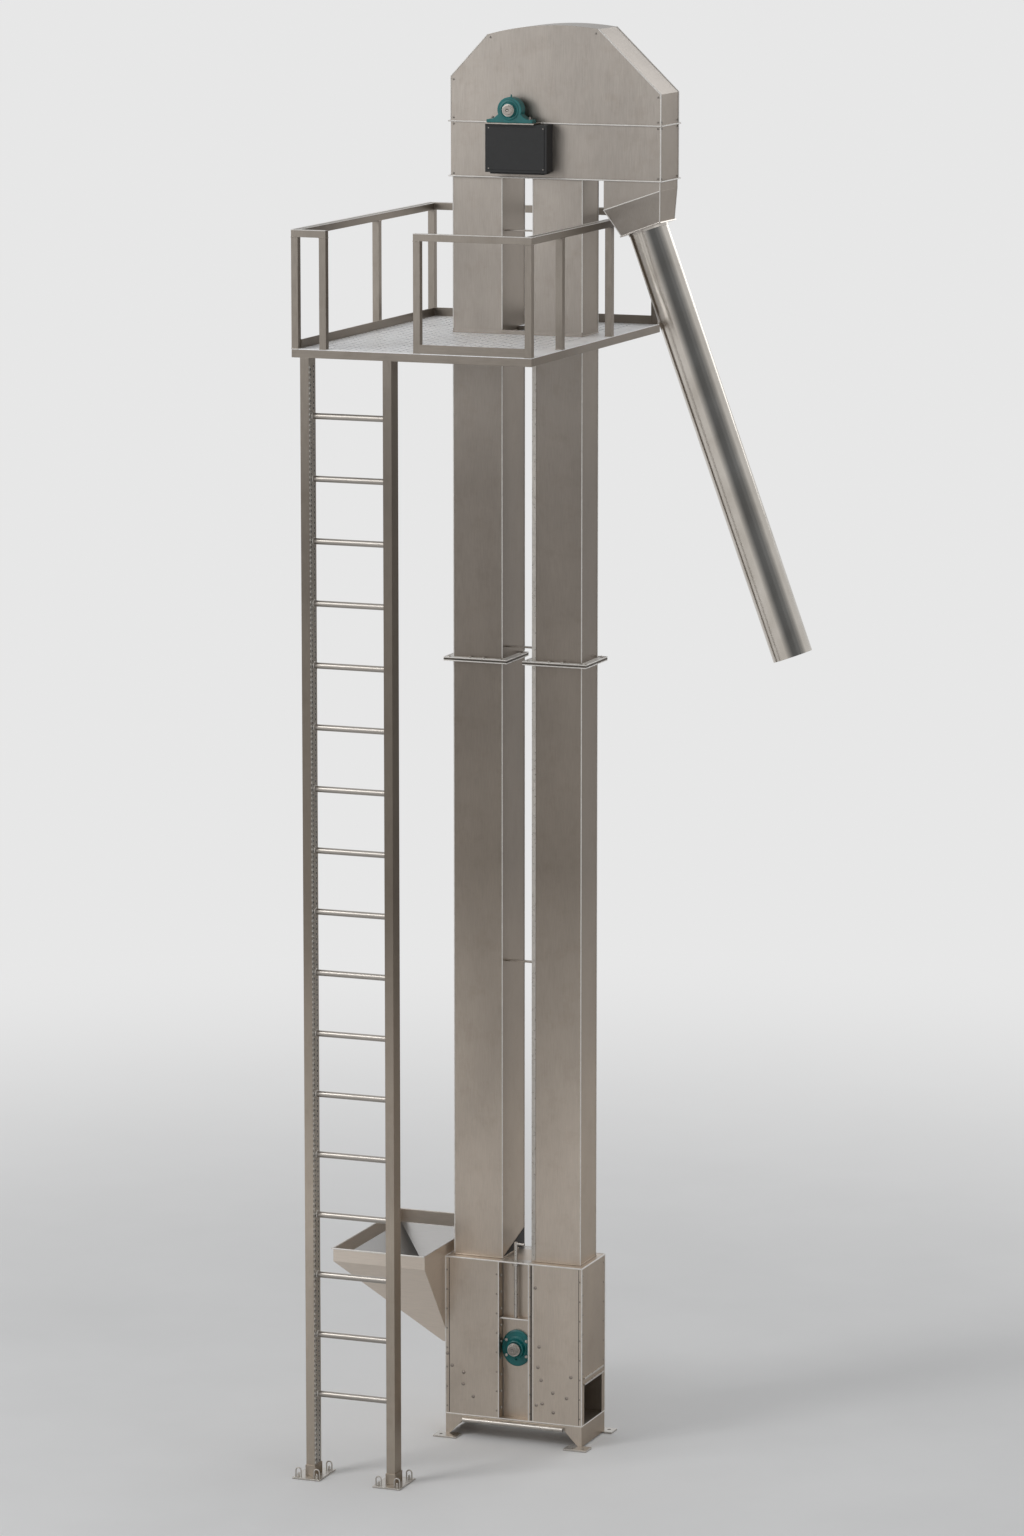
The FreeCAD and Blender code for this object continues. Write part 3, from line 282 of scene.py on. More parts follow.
LOOKS = {
    "boot_bearings": teal, "head_bearings": teal, "gearbox": teal, "drive_motor": teal,
    "control_box": black, "control_box_lid": black, "lid_screws": black,
    "belt": belt_black, "buckets": bucket_white, "chute_collar": polished,
    "discharge_pipe": pipe_painted_reflection(), "inlet_hopper": hopper_sheet_painted_shade(),
    "platform_deck": deck_steel, "ladder_rungs": rung_steel,
    "platform_frame": frame_across, "toe_boards": frame_across,
    "railing_left": frame_steel, "railing_right": frame_steel,
    "ladder_rail_left": frame_steel, "ladder_rail_right": frame_steel,
    "head_pulley": dark_steel_and_shade, "boot_pulley": dark_steel_and_shade, "takeup_rails": dark_steel_and_shade,
    "head_shaft": bright, "head_collar": bright, "head_floor": bright, "head_bolts": bright,
    "boot_shaft": bright, "boot_collars": bright, "boot_bearing_bolts": bright, "boot_feet": bright,
    "takeup_screw_front": bright, "takeup_screw_rear": bright, "takeup_brackets": bright,
    "front_tie_tube": bright, "cleanout_rails": bright, "leg_flange_bolts": bright,
    "leg_seam_strip": bright, "ladder_feet": bright, "ladder_anchor_bolts": bright,
}
for name, obj in nodes.items():
    obj.data.materials.clear()
    obj.data.materials.append(LOOKS.get(name, satin))
TOWARD_X = 0.9
rail = nodes["ladder_rail_left"].data
rail.materials.append(perforated_face)
for polygon in rail.polygons:
    polygon.material_index = 1 if polygon.normal.x > TOWARD_X else 0


def camera_rays(tree):
    """One for rays from the camera, mirrors and glass, and zero for rays that light the object."""
    path = tree.nodes.new("ShaderNodeLightPath")
    seen = path.outputs["Is Camera Ray"]
    for ray in ("Is Glossy Ray", "Is Transmission Ray"):
        either = tree.nodes.new("ShaderNodeMath")
        either.operation = "MAXIMUM"
        tree.links.new(seen, either.inputs[0])
        tree.links.new(path.outputs[ray], either.inputs[1])
        seen = either.outputs[0]
    return seen


# Floor, lights and surroundings
FLOOR_HALF, FLOOR_Z, FADE_FROM, FADE_TO = 400, -0.001, 2.5, 12.0
floor_mesh = bpy.data.meshes.new("floor")
floor_corners = [(x * FLOOR_HALF, y * FLOOR_HALF, FLOOR_Z) for x, y in ((-1, -1), (1, -1), (1, 1), (-1, 1))]
floor_mesh.from_pydata(floor_corners, [], [(0, 1, 2, 3)])
floor = bpy.data.objects.new("floor", floor_mesh)
bpy.context.scene.collection.objects.link(floor)
floor_look = Nodes("floor")
floor_look.link(floor_look.ramp(floor_look.noise(0.8), (0.80, 0.80, 0.80), (0.84, 0.84, 0.84)),
                floor_look.shader.inputs["Base Color"])
floor_look.shader.inputs["Roughness"].default_value = 0.8
distance = floor_look.add("ShaderNodeVectorMath", operation="LENGTH")
floor_look.link(floor_look.position, distance.inputs[0])
far = floor_look.add("ShaderNodeMapRange", interpolation_type="SMOOTHSTEP")
far.inputs["From Min"].default_value = FADE_FROM
far.inputs["From Max"].default_value = FADE_TO
floor_look.link(distance.outputs["Value"], far.inputs["Value"])
share = floor_look.add("ShaderNodeMath", operation="MULTIPLY")
floor_look.link(far.outputs["Result"], share.inputs[0])
floor_look.link(camera_rays(floor_look.tree), share.inputs[1])
glow = floor_look.add("ShaderNodeEmission")
glow.inputs["Color"].default_value = (0.80, 0.80, 0.80, 1)
blend_far = floor_look.add("ShaderNodeMixShader")
floor_look.link(share.outputs[0], blend_far.inputs[0])
floor_look.link(floor_look.shader.outputs[0], blend_far.inputs[1])
floor_look.link(glow.outputs[0], blend_far.inputs[2])
floor_look.link(blend_far.outputs[0], floor_look.tree.nodes["Material Output"].inputs[0])
floor_mesh.materials.append(floor_look.material)
floor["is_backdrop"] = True

AMBIENT, MIRRORED = 0.45, 0.8
world = bpy.data.worlds.new("world")
bpy.context.scene.world = world
world.use_nodes = True
sky = world.node_tree
background = sky.nodes["Background"]
background.inputs["Color"].default_value = (0.98, 0.99, 1, 1)
level = sky.nodes.new("ShaderNodeMapRange")
level.inputs["To Min"].default_value = AMBIENT
level.inputs["To Max"].default_value = MIRRORED
sky.links.new(camera_rays(sky), level.inputs["Value"])
sky.links.new(level.outputs["Result"], background.inputs["Strength"])


def area(name, place, aim, size, power):
    """A large soft lamp that faces the object."""
    lamp = bpy.data.lights.new(name, "AREA")
    lamp.shape = "RECTANGLE"
    lamp.size, lamp.size_y = size
    lamp.energy = power
    obj = bpy.data.objects.new(name, lamp)
    obj.location = place
    obj.rotation_euler = (Vector(aim) - Vector(place)).to_track_quat("-Z", "Y").to_euler()
    bpy.context.scene.collection.objects.link(obj)


area("key_light", (-7, -9, 10), (0, 0, 3.5), (4, 6), 520)
area("fill_light", (10, -4, 6), (0, 0, 3.5), (5, 9), 45)
area("back_light", (3, 10, 9), (0, 0, 4), (6, 6), 160)


# Mesh helpers
def finish_piece(name, mesh_maker, material, body="root", bevel=0, replaced=()):
    """Turn a filled bmesh into a piece that rides on a body."""
    mesh = bpy.data.meshes.new(name)
    bmesh.ops.recalc_face_normals(mesh_maker, faces=mesh_maker.faces)
    mesh_maker.to_mesh(mesh)
    mesh_maker.free()
    obj = bpy.data.objects.new(name, mesh)
    bpy.context.scene.collection.objects.link(obj)
    mesh.materials.append(material)
    if bevel:
        rounding = obj.modifiers.new("rounding", "BEVEL")
        rounding.width = bevel
        rounding.segments = 2
        rounding.limit_method = "ANGLE"
        rounding.angle_limit = math.radians(40)
    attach(obj, body)
    if replaced:
        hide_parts(*replaced)
    return obj


def turned(axis):
    """Rotation that takes +Z to an axis."""
    return Vector(axis).to_track_quat("Z", "Y").to_matrix().to_4x4()


def add_disc(bm, centre, axis, radius, depth, side_shade=20, top_radius=None):
    """A closed disc, cone or prism with its base at centre."""
    matrix = Matrix.Translation(Vector(centre)) @ turned(axis) @ Matrix.Translation((0, 0, depth / 2))
    end_radius = radius if top_radius is None else top_radius
    bmesh.ops.create_cone(bm, cap_ends=True, segments=side_shade, radius1=radius, radius2=end_radius,
                          depth=depth, matrix=matrix)


def add_block(bm, low, high):
    low, high = Vector(low), Vector(high)
    size = high - low
    matrix = Matrix.Translation((low + high) / 2) @ Matrix.Diagonal((*size, 1))
    bmesh.ops.create_cube(bm, size=1, matrix=matrix)


def add_bolt(bm, centre, axis, radius, depth):
    """Washer, hexagon head and a low crown."""
    out = Vector(axis).normalized()
    centre = Vector(centre)
    add_disc(bm, centre, out, radius, depth * 0.2, 18)
    add_disc(bm, centre + out * depth * 0.2, out, radius * 0.8, depth * 0.6, 6, radius * 0.78)
    add_disc(bm, centre + out * depth * 0.8, out, radius * 0.55, depth * 0.2, 14, radius * 0.3)


def add_dome(bm, centre, axis, radius):
    """A round-headed bolt on a thin washer."""
    out = Vector(axis).normalized()
    add_disc(bm, centre, out, radius, radius * 0.2, 16)
    add_disc(bm, Vector(centre) + out * radius * 0.2, out, radius * 0.8, radius * 0.4, 14, radius * 0.4)


def add_revolved(bm, centre, axis, outline, side_shade=40, oval=None):
    """Revolve a closed outline of (radius, height) points; oval gives the stretch at each radius."""
    frame_at = Matrix.Translation(Vector(centre)) @ turned(axis)
    rings = []
    for step in range(side_shade):
        angle = 2 * math.pi * step / side_shade
        ring = []
        for r, rise in outline:
            stretch = oval(r) if oval else 1
            point = Vector((r * math.cos(angle), r * math.sin(angle) * stretch, rise))
            ring.append(bm.verts.new(frame_at @ point))
        rings.append(ring)
    for step in range(side_shade):
        here, there = rings[step], rings[(step + 1) % side_shade]
        for index in range(len(outline)):
            after = (index + 1) % len(outline)
            bm.faces.new((here[index], there[index], there[after], here[after]))


def islands(node):
    """The low and high corners of each separate solid of a CAD node."""
    source = bmesh.new()
    source.from_mesh(nodes[node].data)
    bmesh.ops.remove_doubles(source, verts=source.verts, dist=1e-5)
    left = set(source.verts)
    found = []
    while left:
        stack = [left.pop()]
        members = []
        while stack:
            vertex = stack.pop()
            members.append(vertex.co.copy())
            for edge in vertex.link_edges:
                other = edge.other_vert(vertex)
                if other in left:
                    left.remove(other)
                    stack.append(other)
        found.append((Vector(min(co[i] for co in members) for i in range(3)),
                      Vector(max(co[i] for co in members) for i in range(3))))
    source.free()
    return sorted(found, key=lambda pair: tuple(round(value, 4) for value in pair[0]))


# Only the bolts that stand on the pillow blocks' feet are this tall
UPRIGHT_BOLT = 0.0115


def detailed_bolts(node, body, material):
    """Put a hexagon bolt in the place of each plain solid of a CAD node."""
    bm = bmesh.new()
    for low, high in islands(node):
        size, middle = high - low, (low + high) / 2
        if node == "head_bolts" and size.z > UPRIGHT_BOLT:
            axis = Vector((0, 0, 1))
        elif node in ("leg_flange_bolts", "ladder_anchor_bolts"):
            axis = Vector((0, 0, 1))
        elif abs(size.y - size.z) < 1e-4 and size.x < size.y:
            axis = Vector((1, 0, 0))
        else:
            axis = Vector((0, -1 if middle.y < 0 else 1, 0))
        reach = abs(size.dot(axis))
        radius = max(size) / 2 if reach < max(size) else sorted(size)[0] / 2
        add_bolt(bm, middle - axis * reach / 2, axis, radius, reach)
    finish_piece(node + "_hex", bm, material, body, replaced=(node,))


# The head bolts are given the dark steel as painted shade
for bolt_node, bolt_body, bolt_look in (
        ("head_bolts", "root", dark_steel_and_shade), ("leg_flange_bolts", "root", bright),
        ("ladder_anchor_bolts", "root", bright), ("boot_bearing_bolts", "takeup", bright),
        ("lid_screws", "root", dark_steel_and_shade)):
    detailed_bolts(bolt_node, bolt_body, bolt_look)

# Panel bolts of the boot, as places across each panel (share of width, height in metres)
front_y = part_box("boot_front_panels")[0].y
rear_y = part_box("boot_rear_panels")[1].y
HALF_BOOT, HALF_GAP, PANEL_WIDE = 0.363, 0.080, 0.283
BOLT = 0.009
ROW_LOW, END_ROW_LOW, ROW_STEP, ROW_COUNT, END_ROW_COUNT = 0.15, 0.38, 0.1, 8, 6
right_bolts = ((0.13, 0.80), (0.20, 0.50), (0.18, 0.395), (0.24, 0.33), (0.80, 0.36), (0.46, 0.27),
               (0.72, 0.25), (0.15, 0.20), (0.26, 0.21), (0.47, 0.17))
left_bolts = ((0.12, 0.36), (0.34, 0.33), (0.33, 0.27), (0.52, 0.21), (0.03, 0.42))
bm = bmesh.new()
for share, rise in right_bolts:
    add_dome(bm, (HALF_GAP + PANEL_WIDE * share, front_y, rise), (0, -1, 0), BOLT)
for share, rise in left_bolts:
    add_dome(bm, (-HALF_BOOT + PANEL_WIDE * share, front_y, rise), (0, -1, 0), BOLT)
for y, way, columns in ((front_y, -1, (-0.355, -0.09, 0.09, 0.352)),
                        (rear_y, 1, (-0.355, -0.2, -0.09, 0.09, 0.2, 0.352))):
    for column in columns:
        for step in range(ROW_COUNT):
            add_dome(bm, (column, y, ROW_LOW + ROW_STEP * step), (0, way, 0), BOLT * 0.55)
for y in (-0.145, 0.145):
    for step in range(END_ROW_COUNT):
        add_dome(bm, (HALF_BOOT, y, END_ROW_LOW + ROW_STEP * step), (1, 0, 0), BOLT * 0.6)
# The panel bolts are given a darker steel as painted shade
finish_piece("boot_panel_bolts", bm, bolt_steel_painted_shade)


# Painted highlights: bright lines along the folded edges of the sheet-metal corners
def edge_line(bm, start, end, radius):
    start, end = Vector(start), Vector(end)
    add_disc(bm, start, end - start, radius, (end - start).length, 8)


def edge_path(bm, points, radius):
    for start, end in zip(points, points[1:]):
        edge_line(bm, start, end, radius)


def edge_ring(bm, corners, level, radius):
    """A closed run of edges at one level."""
    path = [(x, y, level) for x, y in corners]
    edge_path(bm, path + path[:1], radius)


# Faces and levels of the sheets in metres, and the radii of the lines along them
CASING_Y, BAND_Y, BOOT_Y, LEG_Y, WEB_Y = 0.1245, 0.1325, 0.1625, 0.109, 0.191
HEAD_LEFT, HEAD_RIGHT, BAND_LEFT, BAND_RIGHT = -0.340, 0.740, -0.348, 0.748
LEG_OUT, LEG_WIDE = 0.335, 0.255
PANEL_LOW, PANEL_HIGH, BOOT_TOP, TOP_LINE, FOOT_LINE = 0.110, 0.915, 0.920, 0.918, 0.112
POST_X, POST_LOW = 0.104, 0.115
HOPPER_LEFT, HOPPER_Y, HOPPER_Z = -0.857, 0.445, 0.9785
THIN, LINE, PANEL_LINE, BAND_LINE, WIDE_LINE, BOOT_LINE = 0.0022, 0.0026, 0.003, 0.0033, 0.0034, 0.0038
bm = bmesh.new()
for y in (-CASING_Y, CASING_Y):
    edge_path(bm, [(HEAD_LEFT, y, 6.563), (HEAD_LEFT, y, 6.775), (-0.148, y, 6.98)], LINE)
    edge_path(bm, [(0.422, y, 7.015), (HEAD_RIGHT, y, 6.71), (HEAD_RIGHT, y, 6.297)], WIDE_LINE)
for level in (6.5602, 6.2955):
    edge_ring(bm, [(BAND_LEFT, -BAND_Y), (BAND_RIGHT, -BAND_Y), (BAND_RIGHT, BAND_Y), (BAND_LEFT, BAND_Y)],
              level, BAND_LINE)
for corner_x, high in ((HALF_BOOT, BOOT_TOP), (HALF_GAP, PANEL_HIGH)):
    for x in (-corner_x, corner_x):
        for y in (-BOOT_Y, BOOT_Y):
            edge_line(bm, (x, y, PANEL_LOW), (x, y, high), PANEL_LINE)
for y in (-BOOT_Y, BOOT_Y):
    edge_line(bm, (-HALF_BOOT, y, TOP_LINE), (-HALF_GAP, y, TOP_LINE), BOOT_LINE)
    edge_line(bm, (HALF_GAP, y, TOP_LINE), (HALF_BOOT, y, TOP_LINE), BOOT_LINE)
    edge_line(bm, (POST_X, y, POST_LOW), (POST_X, y, PANEL_HIGH), 0.002)
for x in (-HALF_BOOT, HALF_BOOT):
    edge_line(bm, (x, -BOOT_Y, TOP_LINE), (x, BOOT_Y, TOP_LINE), BOOT_LINE)
edge_path(bm, [(-HALF_BOOT, -BOOT_Y, FOOT_LINE), (HALF_BOOT, -BOOT_Y, FOOT_LINE),
               (HALF_BOOT, BOOT_Y, FOOT_LINE)], 0.0028)
edge_path(bm, [(-HALF_BOOT, -HOPPER_Y, HOPPER_Z), (HOPPER_LEFT, -HOPPER_Y, HOPPER_Z),
               (HOPPER_LEFT, HOPPER_Y, HOPPER_Z), (-HALF_BOOT, HOPPER_Y, HOPPER_Z)], 0.0039)
for x in (-LEG_OUT, -HALF_GAP, HALF_GAP, LEG_OUT):
    for y in (-LEG_Y, WEB_Y if x == -HALF_GAP else LEG_Y):
        for low, high in ((BOOT_TOP, 3.92), (3.94, 5.488), (5.556, 6.292)):
            edge_line(bm, (x, y, low), (x, y, high), LINE)

# The funnel and the spout above it
MOUTH_Y, FOOT, SPOUT_TOP = 0.1215, 0.104, 6.29
pipe_top, pipe_across = Vector((0.631, 0, 6.064)), Vector((0.9384, 0, 0.3455))
mouth_left, mouth_right = Vector((0.449, 0, 6.150)), Vector((0.736, 0, 6.250))
for side in (-1, 1):
    out = Vector((0, side * MOUTH_Y, 0))
    foot_left = pipe_top - pipe_across * FOOT + Vector((0, side * FOOT, 0))
    foot_right = pipe_top + pipe_across * FOOT + Vector((0, side * FOOT, 0))
    edge_line(bm, mouth_left + out, mouth_right + out, LINE)
    edge_path(bm, [mouth_left + out, foot_left, foot_right, mouth_right + out], THIN)
    edge_line(bm, mouth_right + out, (mouth_right.x, side * MOUTH_Y, SPOUT_TOP), THIN)
# These lines are painted highlights along the folded edges
finish_piece("folded_edge_highlights", bm, painted_highlight_steel)

# Flange faces and their edges in painted highlight, and the dark joint between them
FLANGE_Z, FLANGE_THICK, FLANGE_OUT, FACE_THICK = 3.930, 0.008, 0.038, 0.0006
bm, bm_dark = bmesh.new(), bmesh.new()
for left in (-LEG_OUT, HALF_GAP):
    low_x, high_x = left - FLANGE_OUT, left + LEG_WIDE + FLANGE_OUT
    far_y = LEG_Y + FLANGE_OUT
    corners = [(low_x, -far_y), (high_x, -far_y), (high_x, far_y), (low_x, far_y)]
    top = FLANGE_Z + FLANGE_THICK
    for level in (top, FLANGE_Z - FLANGE_THICK + 0.001):
        edge_ring(bm, corners, level, LINE)
    edge_ring(bm_dark, corners, FLANGE_Z, THIN)
    for low_y, high_y in ((-far_y, -LEG_Y), (LEG_Y, far_y)):
        add_block(bm, (low_x, low_y, top), (high_x - FLANGE_OUT - 0.004, high_y, top + FACE_THICK))
    for start, end in ((low_x, left), (left + LEG_WIDE, high_x)):
        add_block(bm, (start, -LEG_Y, top), (end, LEG_Y, top + FACE_THICK))
finish_piece("flange_face_highlights", bm, painted_highlight_steel)

# Grooves beside the boot's corner posts and the recess
for y in (-BOOT_Y, BOOT_Y):
    for x, radius in ((-0.344, 0.0018), (0.094, 0.004), (0.347, 0.0015)):
        edge_line(bm_dark, (x, y, 0.118), (x, y, 0.912), radius)

# Dark wedge of painted shade that climbs the left leg's inner face behind the take-up screw
SHADE_WEDGE_X, SHADE_WEDGE_THICK, SHADE_WEDGE_LOW, SHADE_WEDGE_HIGH, SHADE_WEDGE_END = -0.0798, 0.0015, 0.9205, 1.010, 0.188
front_end, rear_foot, rear_top = [
    [bm_dark.verts.new((SHADE_WEDGE_X + dx, y, z)) for dx in (0, SHADE_WEDGE_THICK)]
    for y, z in ((-LEG_Y, SHADE_WEDGE_LOW), (SHADE_WEDGE_END, SHADE_WEDGE_LOW), (SHADE_WEDGE_END, SHADE_WEDGE_HIGH))]
for first, second in ((front_end, rear_foot), (rear_foot, rear_top), (rear_top, front_end)):
    bm_dark.faces.new((first[0], first[1], second[1], second[0]))
for k in (0, 1):
    bm_dark.faces.new((front_end[k], rear_foot[k], rear_top[k]))
finish_piece("dark_grooves_and_painted_shade", bm_dark, dark_joints_and_painted_shade)

# Plugs in the open ends of the platform tubes
PLUG, SUNK, TUBE = 0.0025, 0.0002, 0.002
DECK_LEFT, DECK_RIGHT, GATE_LEFT, GATE_RIGHT = -0.761, 0.459, -0.584, -0.138
RAIL_Z, POST, FRAME_Z, FRAME_WIDE, FRAME_HIGH = 6.063, 0.034, 5.492, 0.040, 0.038
bm = bmesh.new()
for x_end, way in ((DECK_LEFT, 1), (DECK_RIGHT, -1)):
    near, deep = x_end + way * SUNK, x_end + way * PLUG
    for y, wide, z, high in ((-1.105, POST, RAIL_Z, POST), (0.612, POST, RAIL_Z, POST),
                             (-1.105, FRAME_WIDE, FRAME_Z, FRAME_HIGH),
                             (0.606, FRAME_WIDE, FRAME_Z, FRAME_HIGH)):
        add_block(bm, (min(near, deep), y + TUBE, z + TUBE),
                  (max(near, deep), y + wide - TUBE, z + high - TUBE))
for x in (GATE_LEFT - PLUG, GATE_RIGHT + SUNK):
    add_block(bm, (x, -1.103, 6.065), (x + PLUG - SUNK, -1.073, 6.095))
finish_piece("tube_plugs", bm, frame_steel)

# Painted highlights on the lips of the take-up: bracket edge and the top lip of the slide plate
HALF_PLATE = 0.003
for node, name, body, radius in (("takeup_brackets", "bracket_edge_highlights", "root", 0.0042),
                                 ("takeup_plates", "slide_edge_highlights", "takeup", 0.004)):
    low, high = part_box(node)
    bm = bmesh.new()
    for y in (low.y, high.y):
        edge_line(bm, (low.x, y, high.z - HALF_PLATE), (high.x, y, high.z - HALF_PLATE), radius)
    finish_piece(name, bm, painted_highlight_steel, body)

# Flange bearings of the boot shaft: an upright oval flange round a turned hub
BOOT_SHAFT_Z, BORE = 0.470, 0.0255
RECESS_FACE, SEAT_GAP, SLIDE_THICK = 0.1005, 0.0003, 0.008
HUB_RING, FLANGE_RING, OVAL = 0.052, 0.0775, 1.2
NIPPLE_BELOW, PAD_X, PAD_Z = 0.056, 0.053, 0.039


def flange_oval(radius):
    """The hub stays round and the flange is taller than it is wide."""
    return 1 + (OVAL - 1) * min(1, max(0, radius - HUB_RING) / (FLANGE_RING - HUB_RING))


seat = RECESS_FACE + SEAT_GAP + SLIDE_THICK
flange_outline = [(BORE, 0), (FLANGE_RING, 0), (FLANGE_RING, 0.010), (0.0735, 0.0135), (0.058, 0.0135),
                  (0.055, 0.017), (0.050, 0.018), (0.046, 0.026), (0.043, 0.036), (0.038, 0.039),
                  (0.036, 0.034), (0.031, 0.034), (0.0305, 0.0395), (BORE, 0.0395)]
pad_outline = [(0.009, 0), (0.0145, 0), (0.0135, 0.0145), (0.009, 0.0145)]
nipple_z = BOOT_SHAFT_Z - NIPPLE_BELOW
for side, name in ((-1, "flange_bearing_front"), (1, "flange_bearing_rear")):
    bm = bmesh.new()
    add_revolved(bm, (0, side * seat, BOOT_SHAFT_Z), (0, side, 0), flange_outline, 56, flange_oval)
    add_disc(bm, (0, side * (seat + 0.013), nipple_z), (0, side, 0), 0.0068, 0.006, 12)
    add_disc(bm, (0, side * (seat + 0.019), nipple_z), (0, side, -0.2), 0.005, 0.012, 10, 0.003)
    for sx in (-1, 1):
        for sz in (-1, 1):
            centre = (sx * PAD_X, side * seat, BOOT_SHAFT_Z + sz * PAD_Z)
            add_revolved(bm, centre, (0, side, 0), pad_outline, 20)
    finish_piece(name, bm, teal, "takeup", replaced=("boot_bearings",))

# Pillow blocks of the head shaft
SHAFT_Z, BASE_Z, CAP_RADIUS, CAP_STEPS = 6.625, 6.563, 0.062, 18
SHELF_DEEP, SHELF_EDGE, HALF_BLOCK = 0.105, 0.010, 0.028


def block_outline():
    """Base with two feet, curved shoulders and the round cap."""
    foot = [(0.118, 0), (0.118, 0.016), (0.09, 0.019), (0.076, 0.026)]
    points = [(-x, BASE_Z + rise) for x, rise in foot]
    for step in range(CAP_STEPS + 1):
        angle = math.radians(200 - 220 * step / CAP_STEPS)
        points.append((CAP_RADIUS * math.cos(angle), SHAFT_Z + CAP_RADIUS * math.sin(angle)))
    return points + [(x, BASE_Z + rise) for x, rise in reversed(foot)]


seal_outline = [(BORE, 0), (0.050, 0), (0.048, 0.004), (0.040, 0.005), (0.038, 0.001), (0.033, 0.001),
                (0.032, 0.007), (BORE, 0.007)]
for side, name in ((-1, "pillow_block_front"), (1, "pillow_block_rear")):
    middle = side * (CASING_Y + SHELF_DEEP - SHELF_EDGE - HALF_BLOCK)
    bm = bmesh.new()
    front, rear = [[bm.verts.new((x, middle + y, z)) for x, z in block_outline()]
                   for y in (-HALF_BLOCK, HALF_BLOCK)]
    bm.faces.new(front)
    bm.faces.new(reversed(rear))
    for index in range(len(front)):
        after = (index + 1) % len(front)
        bm.faces.new((front[index], rear[index], rear[after], front[after]))
    for face_side in (-1, 1):
        face_y = middle + face_side * (HALF_BLOCK + 0.0001)
        add_revolved(bm, (0, face_y, SHAFT_Z), (0, face_side, 0), seal_outline, 40)
    add_disc(bm, (0, middle, SHAFT_Z + 0.058), (0, 0, 1), 0.005, 0.016, 10, 0.003)
    finish_piece(name, bm, teal, bevel=0.0025, replaced=("head_bearings",))

# Embossed deck: short ribs in alternating directions, clear of the legs
deck_low, deck_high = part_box("platform_deck")
PITCH, FIRST, BARE_EDGE = 0.044, 0.05, 0.08
HALF_LONG, HALF_WIDE, RISE, SINK, SLANT, SPREAD = 0.019, 0.005, 0.0028, 0.0003, 35, 0.2
CLEAR_FROM, CLEAR_TO, CLEAR_Y = 0.06, 0.355, 0.135
rib = [(HALF_LONG, 0), (0, HALF_WIDE), (-HALF_LONG, 0), (0, -HALF_WIDE)]
across = int((deck_high.x - deck_low.x - BARE_EDGE) / PITCH)
along = int((deck_high.y - deck_low.y - BARE_EDGE) / PITCH)
bm = bmesh.new()
for i in range(across):
    for j in range(along):
        x = deck_low.x + FIRST + i * PITCH
        y = deck_low.y + FIRST + j * PITCH
        if CLEAR_FROM < abs(x) < CLEAR_TO and abs(y) < CLEAR_Y:
            continue
        turn = math.radians(SLANT if (i + j) % 2 else -SLANT) + random.uniform(-SPREAD, SPREAD)
        cosine, sine = math.cos(turn), math.sin(turn)
        low_ring = [bm.verts.new((x + a * cosine - b * sine, y + a * sine + b * cosine, deck_high.z - SINK))
                    for a, b in rib]
        top = bm.verts.new((x, y, deck_high.z + RISE))
        for k in range(4):
            bm.faces.new((low_ring[k], low_ring[(k + 1) % 4], top))
        bm.faces.new(reversed(low_ring))
# The ribs are darker than the deck as painted shade
finish_piece("deck_embossing", bm, rib_steel_painted_shade)

# Control box: raised lid rim, hinge barrels and a drip edge
lid_low, lid_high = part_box("control_box_lid")
bm = bmesh.new()
add_block(bm, (lid_low.x + 0.012, lid_low.y - 0.0025, lid_low.z + 0.012),
          (lid_high.x - 0.012, lid_low.y, lid_high.z - 0.012))
for x in (lid_low.x + 0.05, lid_high.x - 0.05):
    add_disc(bm, (x - 0.015, lid_high.y, lid_low.z - 0.003), (1, 0, 0), 0.005, 0.03, 14)
add_block(bm, (lid_low.x + 0.02, lid_high.y, lid_low.z - 0.008),
          (lid_high.x - 0.02, lid_high.y + 0.07, lid_low.z + 0.002))
finish_piece("box_trim", bm, black, bevel=0.002)

# Ends of the shafts: a chamfered face with a lathe centre
bm_head, bm_boot = bmesh.new(), bmesh.new()
head_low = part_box("head_shaft")[0]
boot_low, boot_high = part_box("boot_shaft")
end_ring = [(0.004, 0.0), (0.0235, 0.0), (0.0215, 0.002), (0.009, 0.002), (0.004, -0.001)]
add_revolved(bm_head, (0, head_low.y, SHAFT_Z), (0, -1, 0), end_ring)
add_revolved(bm_boot, (0, boot_low.y, BOOT_SHAFT_Z), (0, -1, 0), end_ring)
add_revolved(bm_boot, (0, boot_high.y, BOOT_SHAFT_Z), (0, 1, 0), end_ring)
finish_piece("head_shaft_end", bm_head, dark_steel_and_shade, "head_drive")
finish_piece("boot_shaft_ends", bm_boot, dark_steel_and_shade, "boot_drum")

# Small bolts down both sides of the recess
SEAM_X, SEAM_Y, SEAM_LOW, SEAM_PITCH, SEAM_BOLT = 0.0785, 0.13, 0.16, 0.085, 0.0075
bm = bmesh.new()
for step in range(9):
    for side in (-1, 1):
        for y in (-SEAM_Y, SEAM_Y):
            add_dome(bm, (side * SEAM_X, y, SEAM_LOW + SEAM_PITCH * step), (-side, 0, 0), SEAM_BOLT)
finish_piece("seam_bolts", bm, bright)

